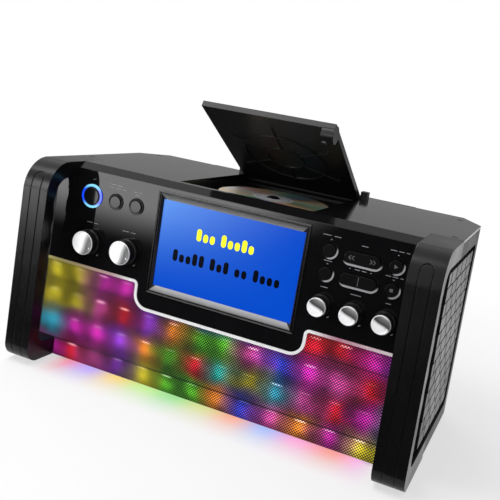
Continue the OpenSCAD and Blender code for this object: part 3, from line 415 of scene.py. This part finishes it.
def frame_corners(inset, y):
    """The four corners of a frame step: insets grow faster above and below than at the sides."""
    widened = max(0, inset / PICTURE_INSET - WIDENING) / (1 - WIDENING) * (PICTURE_INSET_Z - PICTURE_INSET)
    x = FRAME_HALF_X - inset * MM
    z = FRAME_HALF_Z - (inset + widened) * MM
    return [(screen_middle.x + a * x, y, screen_middle.z + b * z) for a, b in CORNERS]


loops = [frame_corners(inset, frame_low.y + depth * MM) for inset, depth in FRAME_STEPS]
loops.append([(x, frame_high.y, z) for x, y, z in loops[-1]])
loops.append(frame_corners(BACK_INSET, frame_high.y))
loops.append(frame_corners(BACK_INSET, frame_low.y + BACK_DEPTH * MM))
mesh = bmesh.new()
rings = [[mesh.verts.new(corner) for corner in loop] for loop in loops]
for k, ring in enumerate(rings):
    following = rings[(k + 1) % len(rings)]
    for i in range(4):
        mesh.faces.new((ring[i], ring[(i + 1) % 4], following[(i + 1) % 4], following[i]))
bmesh.ops.recalc_face_normals(mesh, faces=mesh.faces)
screen_frame = linked("Screen_Frame", mesh)

frame_painted_sheen, tree, shader = start("Frame_Painted_Sheen")
place = place_on(tree)
from_x = calc(tree, "ABSOLUTE", calc(tree, "SUBTRACT", place["X"], screen_middle.x))
from_z = calc(tree, "SUBTRACT", place["Z"], screen_middle.z)
past_x = calc(tree, "SUBTRACT", from_x, FRAME_HALF_X)
past_z = calc(tree, "SUBTRACT", calc(tree, "ABSOLUTE", from_z), FRAME_HALF_Z)
# Painted shade: the narrow sides of the frame are darkened nearly to black
painted_side_shade = spread(tree, calc(tree, "SUBTRACT", past_x, past_z), -0.2 * MM, 0.2 * MM, 1.0, 0.07)
# Painted highlight and shade greys of the bands from the outer edge to the picture: (inset in mm, grey)
PAINTED_BANDS = ((0.0, 0.16), (0.5, 0.03), (1.0, 0.12), (1.7, 0.012), (2.7, 0.008), (3.1, 0.12), (4.5, 0.24),
         (8.0, 0.4))
LAST_BAND = PAINTED_BANDS[-1][0]
inward = calc(tree, "MULTIPLY", calc(tree, "MAXIMUM", past_x, past_z), -1 / (LAST_BAND * MM))
painted_bands = colour_ramp(tree, inward, [(inset / LAST_BAND, (grey, grey, grey)) for inset, grey in PAINTED_BANDS])
# Painted highlight: the lower half of the frame is brighter than the upper
painted_light_below = spread(tree, from_z, -5 * MM, 5 * MM, 1.0, 0.55)
painted_dim = add(tree, "ShaderNodeCombineXYZ")
for axis in "XYZ":
    tree.links.new(calc(tree, "MULTIPLY", painted_side_shade, painted_light_below), painted_dim.inputs[axis])
tree.links.new(mixed(tree, 1, painted_bands, painted_dim.outputs[0], "MULTIPLY"), shader.inputs["Base Color"])
tree.links.new(patchy(tree, 60, 3, 0.22, 0.3), shader.inputs["Roughness"])
shader.inputs["Specular IOR Level"].default_value = 0.2
screen_frame.data.materials.append(frame_painted_sheen)
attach(screen_frame, "cabinet")
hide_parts("screen_surround")

picture_glow, tree, shader = start("Picture_Glow")
place = place_on(tree)
LINE_PITCH = 0.5 * MM
across = spread(tree, place["X"], panel_low.x, panel_high.x, 1.0, 0.0, False)
upward = spread(tree, place["Z"], panel_low.z, panel_high.z, 0.0, 1.0, False)
# Painted highlight: the picture's blue is lighter towards its upper left corner
corner = calc(tree, "POWER", calc(tree, "MULTIPLY", across, upward), 1.6)
lines = calc(tree, "SINE", calc(tree, "MULTIPLY", place["Z"], 2 * math.pi / LINE_PITCH))
tree.links.new(mixed(tree, corner, (0.0, 0.07, 0.6), (0.12, 0.36, 0.95)), shader.inputs["Emission Color"])
tree.links.new(spread(tree, lines, -1, 1, 0.94, 1.04, False), shader.inputs["Emission Strength"])
shader.inputs["Base Color"].default_value = (0.002, 0.004, 0.02, 1)
shader.inputs["Roughness"].default_value = 0.12
shader.inputs["Specular IOR Level"].default_value = 0.06
dress(picture_glow, "screen_panel")


def lit(name, colour, strength):
    made, tree, shader = start(name)
    shader.inputs["Base Color"].default_value = (*[c * 0.3 for c in colour], 1)
    shader.inputs["Emission Color"].default_value = (*colour, 1)
    tree.links.new(patchy(tree, 900, 1, strength * 0.96, strength * 1.04), shader.inputs["Emission Strength"])
    shader.inputs["Roughness"].default_value = 0.3
    shader.inputs["Specular IOR Level"].default_value = 0.05
    return made


# The picture shows two lines of upright blocks, the sung ones yellow and the next ones dark,
# where such a screen shows its words. Each word is a count of low and tall blocks.
PICTURE_DEPTH = 3.1 * MM
PICTURE_FACE = PANEL_FACE + PICTURE_DEPTH
BLOCK_THICK = 0.06 * MM
BLOCK_W = 5.4
BLOCK_STEP = 7.5
BLOCK_LOW = 8.5
BLOCK_TALL = 12.5
SPACE = 5
# Lines: (words of tall T and low l blocks, middle of the line, height of its foot) in mm
SUNG = ("Tll TllTl", -3, 11)
NEXT = ("TllTT TlT ll Tlll", 1, -15)
LINES = (("Sung_Blocks", SUNG, (0.85, 0.9, 0.03), 1.0), ("Next_Blocks", NEXT, (0.0, 0.002, 0.012), 0.2))
for name, (words, middle_x, foot), colour, strength in LINES:
    length = sum(SPACE if mark == " " else BLOCK_STEP for mark in words)
    x = middle_x - length / 2
    outlines = []
    for mark in words:
        if mark == " ":
            x += SPACE
            continue
        tall = BLOCK_TALL if mark == "T" else BLOCK_LOW
        r = BLOCK_W / 2
        for middle_z, first in ((foot + tall - r, -90), (foot + r, 90)):
            if middle_z > foot + r:
                outline = []
            outline += [(x + r + r * math.sin(math.radians(a)), middle_z + r * math.cos(math.radians(a)))
                        for a in range(first, first + 181, 30)]
        outlines.append([(screen_middle.x + a * MM, screen_middle.z + b * MM) for a, b in outline][::-1])
        x += BLOCK_STEP
    paint = lit(name, colour, strength)
    flat_piece(name, outlines, PICTURE_FACE - BLOCK_THICK, BLOCK_THICK, paint, "cabinet")

# Lit front: a fine diagonal weave of painted metal over coloured lights. Four rows of lights
# glow through it in soft blobs, with a painted highlight streak over each light and painted shade
# along three thin creases.
LIGHT = {"yellow": (0.62, 0.52, 0.02), "magenta": (0.62, 0.02, 0.42), "purple": (0.28, 0.04, 0.6),
         "red": (0.75, 0.01, 0.03), "pink": (0.75, 0.08, 0.4), "blue": (0.04, 0.06, 0.75),
         "cyan": (0.04, 0.42, 0.6), "teal": (0.02, 0.4, 0.35), "green": (0.1, 0.48, 0.02),
         "orange": (0.75, 0.22, 0.02)}
ROWS = ["magenta red pink purple yellow green green orange blue pink orange magenta yellow yellow",
        "cyan magenta magenta purple orange green red teal yellow cyan pink red magenta cyan",
        "yellow yellow pink red purple orange green green pink blue magenta pink red magenta",
        "yellow yellow magenta magenta purple blue blue blue blue red red red magenta blue"]
LIGHT_LOW = 14 * MM
LIGHT_PITCH = 28.5 * MM
COLUMN = (front_high.x - front_low.x) / len(ROWS[0].split())

# How far a cloudy noise shifts the colours to the right and up
DRIFT = (0.032, 0, 0.026)
weave, tree, shader = start("Lit_Weave")
point = object_point(tree)
drift = add(tree, "ShaderNodeTexNoise")
drift.inputs["Scale"].default_value = 26
tree.links.new(point, drift.inputs["Vector"])
drifted = add(tree, "ShaderNodeVectorMath", operation="MULTIPLY_ADD")
tree.links.new(drift.outputs["Color"], drifted.inputs[0])
drifted.inputs[1].default_value = DRIFT
tree.links.new(point, drifted.inputs[2])
wandering = add(tree, "ShaderNodeSeparateXYZ")
tree.links.new(drifted.outputs[0], wandering.inputs[0])
still = place_on(tree)
# The drift runs one way only, from nothing to its full length, so half of it is taken back
along = calc(tree, "SUBTRACT", wandering.outputs["X"], DRIFT[0] / 2)
along = spread(tree, along, front_low.x, front_high.x, 0, 1, False)
above = calc(tree, "SUBTRACT", wandering.outputs["Z"], DRIFT[2] / 2)
ROW_BLEND = 0.3 * LIGHT_PITCH
colour = None
for row, names in enumerate(ROWS):
    names = names.split()
    stops = [((k + 0.5) / len(names), LIGHT[name]) for k, name in enumerate(names)]
    row_colour = colour_ramp(tree, along, stops, "EASE")
    if colour is None:
        colour = row_colour
        continue
    middle = LIGHT_LOW + (row - 0.5) * LIGHT_PITCH
    colour = mixed(tree, spread(tree, above, middle - ROW_BLEND, middle + ROW_BLEND), colour, row_colour)


def wave(tree, value, pitch, shift):
    phase = calc(tree, "MULTIPLY", calc(tree, "SUBTRACT", value, shift), 2 * math.pi / pitch)
    return calc(tree, "MULTIPLY_ADD", calc(tree, "COSINE", phase), 0.5, 0.5)


blob_x = wave(tree, still["X"], COLUMN, front_low.x + COLUMN / 2)
blob_z = wave(tree, still["Z"], LIGHT_PITCH, LIGHT_LOW)
cell = add(tree, "ShaderNodeTexWhiteNoise", noise_dimensions="2D")
cell_place = add(tree, "ShaderNodeCombineXYZ")
for axis, value, pitch, shift in (("X", still["X"], COLUMN, front_low.x),
                                  ("Y", still["Z"], LIGHT_PITCH, LIGHT_LOW - LIGHT_PITCH / 2)):
    step = calc(tree, "DIVIDE", calc(tree, "SUBTRACT", value, shift), pitch)
    tree.links.new(calc(tree, "FLOOR", step), cell_place.inputs[axis])
tree.links.new(cell_place.outputs[0], cell.inputs["Vector"])
lively = spread(tree, cell.outputs["Value"], 0, 1, 0.25, 1.0, False)
wide_x = calc(tree, "MULTIPLY_ADD", blob_x, 0.4, 0.6)
wide_z = calc(tree, "MULTIPLY_ADD", blob_z, 0.5, 0.5)
# Light of the weave between the lights, of a whole blob, of its core and of its painted highlight streak
BASE_LIGHT = 0.06
BLOB_LIGHT = 0.56
CORE_LIGHT = 0.75
STREAK_LIGHT = 1.1
glow = calc(tree, "MULTIPLY", wide_x, wide_z)
core = calc(tree, "MULTIPLY", calc(tree, "POWER", calc(tree, "MULTIPLY", blob_x, blob_z), 2.0), lively)
bright = calc(tree, "MULTIPLY_ADD", glow, BLOB_LIGHT, BASE_LIGHT)
bright = calc(tree, "MULTIPLY_ADD", core, CORE_LIGHT, bright)
uneven = spread(tree, noise(tree, point, 34, 3), 0.32, 0.68, 0.45, 1.35)
bright = calc(tree, "MULTIPLY", bright, uneven)
# Painted highlight: a streak over each light
STREAK_RISE = 7 * MM
streak_z = wave(tree, still["Z"], LIGHT_PITCH, LIGHT_LOW + STREAK_RISE)
painted_streak = calc(tree, "MULTIPLY", spread(tree, streak_z, 0.975, 0.998), spread(tree, blob_x, 0.45, 1.0))
painted_streak = calc(tree, "MULTIPLY", painted_streak, calc(tree, "POWER", lively, 2.0))
bright = calc(tree, "MULTIPLY_ADD", painted_streak, STREAK_LIGHT, bright)
# Painted shade along thin creases across the front: (height, half width in mm, darkness)
PAINTED_CREASE_SHADE = ((90 * MM, 0.6, 0.6), (69 * MM, 0.5, 0.3), (22.5 * MM, 0.9, 0.75))
for height, half, darkness in PAINTED_CREASE_SHADE:
    away = calc(tree, "ABSOLUTE", calc(tree, "SUBTRACT", still["Z"], height))
    shade = spread(tree, away, half * MM * 0.6, half * MM * 1.4, 1 - darkness, 1.0)
    bright = calc(tree, "MULTIPLY", bright, shade)
WEAVE = 3.1 * MM
one_way = calc(tree, "ADD", still["X"], still["Z"])
other_way = calc(tree, "SUBTRACT", still["X"], still["Z"])
holes = calc(tree, "MULTIPLY", wave(tree, one_way, WEAVE, 0), wave(tree, other_way, WEAVE, 0))
bright = calc(tree, "MULTIPLY", bright, spread(tree, holes, 0.02, 0.5, 0.12, 2.0))
# The painted highlight streaks wash the colour towards white
highlight_whitened = mixed(tree, calc(tree, "MULTIPLY", painted_streak, 0.35), colour, (1, 0.95, 0.9))
tree.links.new(highlight_whitened, shader.inputs["Emission Color"])
tree.links.new(bright, shader.inputs["Emission Strength"])
shader.inputs["Base Color"].default_value = (0.006, 0.006, 0.0065, 1)
shader.inputs["Roughness"].default_value = 0.45
shader.inputs["Specular IOR Level"].default_value = 0.1
bump = add(tree, "ShaderNodeBump")
bump.inputs["Distance"].default_value = 0.3 * MM
tree.links.new(holes, bump.inputs["Height"])
tree.links.new(bump.outputs[0], shader.inputs["Normal"])
dress(weave, "mesh_front")

# Trim along the lower edge of the panel: a strip of bright plated plastic, pressed in place.
# It has painted reflections of the lit front, yellow on the left and pink then white on the right, and a
# faint painted glow.
TRIM_PAINTED_REFLECTIONS = ((0.0, (0.4, 0.36, 0.12)), (0.2, (0.45, 0.3, 0.3)), (0.26, (0.85, 0.85, 0.86)),
                (0.74, (0.85, 0.85, 0.86)), (0.8, (0.5, 0.22, 0.3)), (1.0, (1, 1, 1)))
trim_painted_reflection, tree, shader = start("Trim_Painted_Reflection")
across = spread(tree, place_on(tree)["X"], front_low.x, front_high.x, 0, 1, False)
painted_reflection = colour_ramp(tree, across, TRIM_PAINTED_REFLECTIONS)
tree.links.new(painted_reflection, shader.inputs["Base Color"])
tree.links.new(painted_reflection, shader.inputs["Emission Color"])
shader.inputs["Metallic"].default_value = 0.35
# Painted glow: the painted reflections also shine faintly
shader.inputs["Emission Strength"].default_value = 0.25
tree.links.new(patchy(tree, 300, 2, 0.16, 0.26), shader.inputs["Roughness"])
dress(trim_painted_reflection, "window_trim")

# Knobs: black caps with a bright rim and a spun metal face, pushed on steel shafts. The face's
# greys are a painted reflection. A small white dot near its edge turns with the knob, and a fine
# mark is printed at each end of the turn.
SMALL_RADIUS = 12 * MM
# Painted reflection greys of the spun face from its bright side to its dark side: (part of the way,
# grey). Beyond them the far edge gets a painted white highlight.
LARGE_PAINTED_SHEEN = ((0, 0.9), (0.5, 1), (0.62, 0.4), (0.72, 0.12), (0.9, 0.2))
SMALL_PAINTED_SHEEN = ((0, 0.9), (0.42, 1), (0.5, 0.6), (0.56, 0.05), (0.7, 0.12), (0.85, 0.25))
# The painted bright part ends in an S-curve: its turn across the face and its depth, as parts of the radius
CURVE_TURN = 2.4
CURVE_DEPTH = 0.16
# The face ends at this depth behind the front and the rim this far in, each with a soft edge
FACE_DEPTH = (1.1 * MM, 1.3 * MM)
RIM_WIDTH = 1.9 * MM
RIM_BLUR = 0.4 * MM
# Where the dimple lies: how far in from the edge, and the angle from the right
DIMPLE_INSET = 4 * MM
DIMPLE_TURN = math.radians(-25)
DIMPLE_RADIUS = (0.8 * MM, 1.1 * MM)
TURNING_PITCH = 0.25 * MM


def length_of(tree, a, b):
    return calc(tree, "SQRT", calc(tree, "MULTIPLY_ADD", a, a, calc(tree, "MULTIPLY", b, b)))


def place_from(tree, origin):
    """The point on the object's own axes, measured from the given one and split into X, Y and Z."""
    shift = add(tree, "ShaderNodeMapping")
    shift.inputs["Location"].default_value = [-value for value in origin]
    tree.links.new(object_point(tree), shift.inputs["Vector"])
    made = add(tree, "ShaderNodeSeparateXYZ")
    tree.links.new(shift.outputs[0], made.inputs[0])
    return made.outputs


for knob in KNOBS:
    low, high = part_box(knob)
    centre = (low + high) / 2
    radius = (high.x - low.x) / 2
    spun_painted_sheen, tree, shader = start("Spun_Painted_Sheen_" + knob)
    place = place_from(tree, (centre.x, low.y, centre.z))
    out = length_of(tree, place["Z"], place["X"])
    face = spread(tree, place["Y"], *FACE_DEPTH, 1.0, 0.0)
    small = radius < SMALL_RADIUS
    # Painted reflection: the way across the face in which its greys run from bright to dark
    toward_x, toward_z = (0.6, 0.8) if small else (0.8, -0.45)
    side = calc(tree, "MULTIPLY_ADD", place["Z"], toward_z, calc(tree, "MULTIPLY", place["X"], toward_x))
    along = calc(tree, "MULTIPLY_ADD", place["Z"], toward_x, calc(tree, "MULTIPLY", place["X"], -toward_z))
    bent = calc(tree, "SINE", calc(tree, "MULTIPLY", along, CURVE_TURN / radius))
    bent = calc(tree, "ADD", side, calc(tree, "MULTIPLY", bent, CURVE_DEPTH * radius))
    painted_stops = SMALL_PAINTED_SHEEN if small else LARGE_PAINTED_SHEEN
    sheen_greys = [(position, (grey, grey, grey * 1.01)) for position, grey in painted_stops]
    sheen_greys.append((1, (1, 1, 1)))
    painted_sheen = colour_ramp(tree, spread(tree, bent, -radius, radius, 0, 1, False), sheen_greys)
    cap = mixed(tree, face, (0.006, 0.006, 0.0065), painted_sheen)
    rim = spread(tree, out, radius - RIM_WIDTH, radius - RIM_WIDTH + RIM_BLUR, 0.0, 0.9)
    cap = mixed(tree, calc(tree, "MULTIPLY", rim, face), cap, (0.85, 0.85, 0.86))
    # A white dot near the face's edge, turning with the knob
    dot_x = calc(tree, "SUBTRACT", place["X"], (radius - DIMPLE_INSET) * math.cos(DIMPLE_TURN))
    dot_z = calc(tree, "SUBTRACT", place["Z"], (radius - DIMPLE_INSET) * math.sin(DIMPLE_TURN))
    away = length_of(tree, dot_x, dot_z)
    cap = mixed(tree, spread(tree, away, *DIMPLE_RADIUS, 1.0, 0.0), cap, (1, 1, 1))
    tree.links.new(cap, shader.inputs["Base Color"])
    tree.links.new(calc(tree, "MULTIPLY", face, 0.1), shader.inputs["Metallic"])
    rings = calc(tree, "SINE", calc(tree, "MULTIPLY", out, 2 * math.pi / TURNING_PITCH))
    tree.links.new(calc(tree, "MULTIPLY_ADD", rings, 0.03, 0.3), shader.inputs["Roughness"])
    shader.inputs["Specular IOR Level"].default_value = 0.3
    dress(spun_painted_sheen, knob)
ground_steel = moulded("Ground_Steel", (0.55, 0.56, 0.58), 0.28, skin=0.5, depth=0.01, metallic=1.0)
dress(ground_steel, "music_shaft", "mic_shaft", "echo_shaft", "balance_shaft", "tone_shaft", "potentiometers",
      "lid_hinge_pins", "spindle_motor", "sled_rods")


def mark_ring_tree():
    """Geometry nodes: marks of one length and width, set on an arc that faces the front."""
    made = bpy.data.node_groups.new("Mark_Ring", "GeometryNodeTree")
    interface = made.interface
    interface.new_socket("Geometry", in_out="OUTPUT", socket_type="NodeSocketGeometry")
    for name, kind in (("Centre", "Vector"), ("Radius", "Float"), ("Marks", "Int"), ("First Angle", "Float"),
                       ("Sweep", "Float"), ("Length", "Float"), ("Width", "Float"), ("Material", "Material")):
        interface.new_socket(name, in_out="INPUT", socket_type="NodeSocket" + kind)
    given = add(made, "NodeGroupInput")
    result = add(made, "NodeGroupOutput")
    points = add(made, "GeometryNodePoints")
    made.links.new(given.outputs["Marks"], points.inputs["Count"])
    index = add(made, "GeometryNodeInputIndex").outputs[0]
    last = calc(made, "SUBTRACT", given.outputs["Marks"], 1)
    part = calc(made, "DIVIDE", index, last)
    angle = calc(made, "MULTIPLY_ADD", part, given.outputs["Sweep"], given.outputs["First Angle"])
    ring = add(made, "ShaderNodeCombineXYZ")
    for axis, kind in (("X", "SINE"), ("Z", "COSINE")):
        shift = calc(made, "MULTIPLY", calc(made, kind, angle), given.outputs["Radius"])
        made.links.new(shift, ring.inputs[axis])
    spot = add(made, "ShaderNodeVectorMath", operation="ADD")
    made.links.new(ring.outputs[0], spot.inputs[0])
    made.links.new(given.outputs["Centre"], spot.inputs[1])
    made.links.new(spot.outputs[0], points.inputs["Position"])
    size = add(made, "ShaderNodeCombineXYZ")
    made.links.new(given.outputs["Width"], size.inputs["X"])
    size.inputs["Y"].default_value = PRINT
    made.links.new(given.outputs["Length"], size.inputs["Z"])
    cube = add(made, "GeometryNodeMeshCube")
    made.links.new(size.outputs[0], cube.inputs["Size"])
    turn = add(made, "ShaderNodeCombineXYZ")
    made.links.new(angle, turn.inputs["Y"])
    placed = add(made, "GeometryNodeInstanceOnPoints")
    made.links.new(points.outputs[0], placed.inputs["Points"])
    made.links.new(cube.outputs["Mesh"], placed.inputs["Instance"])
    made.links.new(turn.outputs[0], placed.inputs["Rotation"])
    real = add(made, "GeometryNodeRealizeInstances")
    made.links.new(placed.outputs[0], real.inputs[0])
    painted = add(made, "GeometryNodeSetMaterial")
    made.links.new(real.outputs[0], painted.inputs["Geometry"])
    made.links.new(given.outputs["Material"], painted.inputs["Material"])
    made.links.new(painted.outputs[0], result.inputs[0])
    return made


# The marks stand at the ends of the knob's turn, a little outside its edge
MARK_GAP = 3.2 * MM
TURN_HALF = math.radians(140)
mark_ring = mark_ring_tree()
ring_inputs = {item.name: item.identifier for item in mark_ring.interface.items_tree
               if item.in_out == "INPUT"}
for knob in KNOBS:
    low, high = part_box(knob)
    holder = bpy.data.objects.new("Holder", bpy.data.meshes.new("Holder"))
    bpy.context.scene.collection.objects.link(holder)
    ring = holder.modifiers.new("Marks", "NODES")
    ring.node_group = mark_ring
    centre = (low + high) / 2
    sizes = {"Centre": (centre.x, PANEL_FACE - PRINT / 2, centre.z),
             "Radius": (high.x - low.x) / 2 + MARK_GAP, "Marks": 2,
             "First Angle": -TURN_HALF, "Sweep": 2 * TURN_HALF,
             "Length": 0.8 * MM, "Width": 2.4 * MM, "Material": grey_print}
    for name, value in sizes.items():
        ring[ring_inputs[name]] = value
    graph = bpy.context.evaluated_depsgraph_get()
    data = bpy.data.meshes.new_from_object(holder.evaluated_get(graph), depsgraph=graph)
    bpy.data.objects.remove(holder)
    marks = bpy.data.objects.new("Marks_" + knob, data)
    bpy.context.scene.collection.objects.link(marks)
    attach(marks, "cabinet")

# Power key: a black cap in a ring of clear plastic, lit blue from behind: pale above and
# below, deep blue at the sides.
power_middle = box_middle("power_ring")
blue_ring, tree, shader = start("Blue_Ring")
place = place_on(tree)
off_x = calc(tree, "SUBTRACT", place["X"], power_middle.x)
off_z = calc(tree, "SUBTRACT", place["Z"], power_middle.z)
PALE_FROM = 5 * MM
PALE_TO = 12 * MM
# The ring's light starts at its inner edge, where the cap ends
RING_INSIDE = (9.6 * MM, 10.4 * MM)
pale = spread(tree, calc(tree, "ABSOLUTE", off_z), PALE_FROM, PALE_TO)
tree.links.new(mixed(tree, pale, (0.005, 0.06, 1.0), (0.25, 0.75, 1.0)), shader.inputs["Emission Color"])
out = length_of(tree, off_x, off_z)
tree.links.new(spread(tree, out, *RING_INSIDE, 0.03, 1.1), shader.inputs["Emission Strength"])
shader.inputs["Base Color"].default_value = (0.004, 0.01, 0.04, 1)
shader.inputs["Roughness"].default_value = 0.15
dress(blue_ring, "power_ring")

# Other keys: gloss black caps in rings set into the panel. The two on the left stand in thick black
# rings with a faint painted glint on the lower left; the others' rings have a painted highlight, a thin
# grey crescent on the lower right.
gloss_key = moulded("Gloss_Key", (0.006, 0.006, 0.0065), 0.08, skin=2.0, depth=0.003, edge=0.5,
                    specular=0.22, uneven=0.02)
dress(gloss_key, "power_button", "skip_rocker", "key_rocker", *ROUND_KEYS)
key_ring_painted_highlight, tree, shader = start("Key_Ring_Painted_Highlight")
place = place_on(tree)
RING_REACH = 4 * MM
RING_HEIGHT = 10.2 * MM
RING_BLUR = 0.2 * MM
painted_crescents = None
for key in (*ROUND_KEYS, "skip_rocker", "key_rocker"):
    low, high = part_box(key)
    middle = (low + high) / 2
    left = middle.x < 0
    # Way to the side of the ring that gets the painted highlight
    if "rocker" in key:
        right_part, up_part = 0.1, -1.0
    elif left:
        right_part, up_part = -0.35, -1.0
    else:
        right_part, up_part = 0.8, -0.65
    off_x = calc(tree, "SUBTRACT", place["X"], middle.x)
    off_z = calc(tree, "SUBTRACT", place["Z"], middle.z)
    lean = calc(tree, "MULTIPLY_ADD", off_z, up_part, calc(tree, "MULTIPLY", off_x, right_part))
    painted_lit_side = spread(tree, lean, 2.5 * MM, 6 * MM, 0.0, 0.12 if left else 1.0)
    # No crescent reaches the rings of the next key
    reach = (high.x - low.x) / 2 + RING_REACH
    near_x = spread(tree, calc(tree, "ABSOLUTE", off_x), reach, reach + RING_BLUR, 1.0, 0.0)
    near_z = spread(tree, calc(tree, "ABSOLUTE", off_z), RING_HEIGHT, RING_HEIGHT + RING_BLUR, 1.0, 0.0)
    part = calc(tree, "MULTIPLY", painted_lit_side, calc(tree, "MULTIPLY", near_x, near_z))
    painted_crescents = part if painted_crescents is None else calc(tree, "MAXIMUM", painted_crescents, part)
tree.links.new(mixed(tree, painted_crescents, (0.004, 0.004, 0.004), (0.42, 0.42, 0.43)), shader.inputs["Base Color"])
tree.links.new(patchy(tree, 200, 2, 0.22, 0.34), shader.inputs["Roughness"])
shader.inputs["Specular IOR Level"].default_value = 0.06
dress(key_ring_painted_highlight, "button_rings")


def symbol(name, outlines, node, body):
    """A print on a key: outlines in mm from the key's middle, facing the front."""
    middle = box_middle(node)
    placed = [[(middle.x + x * MM, middle.z + z * MM) for x, z in outline] for outline in outlines]
    flat_piece(name, placed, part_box(node)[0].y - PRINT, PRINT, faint_print, body)


faint_print = moulded("Faint_Print", (0.09, 0.09, 0.095), 0.4, skin=0.3, depth=0.01)
# Two chevrons at each end of the rocker, their outline in mm
CHEVRON = [(0, 2), (1, 2), (3, 0), (1, -2), (0, -2), (2, 0)]
CHEVRON_FROM = 7
CHEVRON_STEP = 3
chevrons = [[(s * (CHEVRON_FROM + x + shift), z) for x, z in CHEVRON][::s]
            for s in (-1, 1) for shift in (0, CHEVRON_STEP)]
symbol("Skip_Chevrons", chevrons, "skip_rocker", "skip_key")
symbol("Tune_Divider", [bar(0, 0, 0.5, 8)], "key_rocker", "tune_key")
symbol("Play_Arrow", [[(-1.4, -2), (2, 0), (-1.4, 2)]], "play_button", "play_key")
symbol("Stop_Square", [bar(0, 0, 3, 3)], "stop_button", "stop_key")

# Disc player: a black textured well under a hinged lid with ribs below it, a round ear at its
# free corner, and a disc on a black hub. The disc's tracks carry a painted reflection: the colours
# into which they split the light, painted round the disc.
well_black = moulded("Well_Black", (0.006, 0.006, 0.0065), 0.5, skin=0.8, depth=0.04, specular=0.3)
dress(well_black, "disc_well")
hub_black = moulded("Hub_Black", (0.004, 0.004, 0.004), 0.25, skin=0.8, depth=0.01, edge=0.2)
dress(hub_black, "spindle_hub")
lid_black = moulded("Lid_Black", (0.006, 0.006, 0.0065), 0.33, skin=1.5, depth=0.006, edge=0.6, specular=0.3)
dress(lid_black, "disc_lid", "lid_latch")

disc_painted_sheen, tree, shader = start("Disc_Painted_Sheen")
place = place_from(tree, box_middle("disc"))
out = length_of(tree, place["Y"], place["X"])
turn = calc(tree, "ARCTAN2", place["Y"], place["X"])
# Painted reflection colours round the disc, from the left once about
DISC_PAINTED_SHEEN = ["silver", "gold", "silver", "green", "dark", "blue", "silver", "rose", "gold", "dark",
         "green", "silver", "gold", "dark", "blue", "green", "silver", "gold", "rose", "silver"]
PAINTED_TRACK_COLOURS = {"silver": (0.62, 0.6, 0.56), "gold": (0.72, 0.5, 0.22), "green": (0.2, 0.5, 0.25),
                 "dark": (0.16, 0.15, 0.14), "blue": (0.2, 0.32, 0.55), "rose": (0.62, 0.3, 0.32)}
TRACKS_FROM = 22 * MM
STACKING_RING = 17.5 * MM
painted_sheen = colour_ramp(tree, spread(tree, turn, -math.pi, math.pi, 0, 1, False),
                    [(k / len(DISC_PAINTED_SHEEN), PAINTED_TRACK_COLOURS[name]) for k, name in enumerate(DISC_PAINTED_SHEEN)], "B_SPLINE")
surface = mixed(tree, spread(tree, out, TRACKS_FROM, TRACKS_FROM + 1.5 * MM), (0.72, 0.72, 0.74), painted_sheen)
from_ring = calc(tree, "ABSOLUTE", calc(tree, "SUBTRACT", out, STACKING_RING))
surface = mixed(tree, spread(tree, from_ring, 0.3 * MM, 0.7 * MM, 1.0, 0.0), surface, (0.25, 0.25, 0.26))
tree.links.new(surface, shader.inputs["Base Color"])
tree.links.new(spread(tree, out, TRACKS_FROM, TRACKS_FROM + 2 * MM, 0.1, 0.35), shader.inputs["Metallic"])
shader.inputs["Roughness"].default_value = 0.28
dress(disc_painted_sheen, "disc")

# Laser sled: cast metal that slides on two rods, with a small coated glass lens on top.
cast_metal = moulded("Cast_Metal", (0.24, 0.25, 0.26), 0.4, skin=0.7, depth=0.03, metallic=0.8)
dress(cast_metal, "laser_sled")
lens_glass = moulded("Lens_Glass", (0.05, 0.09, 0.3), 0.05, skin=0.5, depth=0.002)
lens_glass.node_tree.nodes["Principled BSDF"].inputs["Coat Weight"].default_value = 1.0
dress(lens_glass, "laser_lens")

# Inside: the light spreader, circuit boards with green lacquer, black baffle and the
# loudspeakers' grey paper cones, all behind the front.
milk_sheet = moulded("Milk_Sheet", (0.8, 0.78, 0.82), 0.5, skin=0.8, depth=0.02)
dress(milk_sheet, "light_diffuser")
green_board = moulded("Green_Board", (0.012, 0.09, 0.03), 0.3, skin=0.5, depth=0.03)
dress(green_board, "light_board", "main_board", "left_control_board", "right_control_board")
inner_black = moulded("Inner_Black", (0.02, 0.02, 0.021), 0.55, skin=0.7, depth=0.03)
dress(inner_black, "front_baffle")
paper_cone = moulded("Paper_Cone", (0.045, 0.045, 0.048), 0.75, skin=0.9, depth=0.08)
dress(paper_cone, "left_speaker", "right_speaker")

# Back and below: the inlet and the sockets in black plastic, and four soft rubber feet.
socket_black = moulded("Socket_Black", (0.014, 0.014, 0.015), 0.38, skin=0.5, depth=0.03, edge=0.4)
dress(socket_black, "power_inlet", "rear_jacks")
soft_rubber = moulded("Soft_Rubber", (0.02, 0.02, 0.02), 0.8, skin=0.5, depth=0.06)
dress(soft_rubber, "rubber_feet")
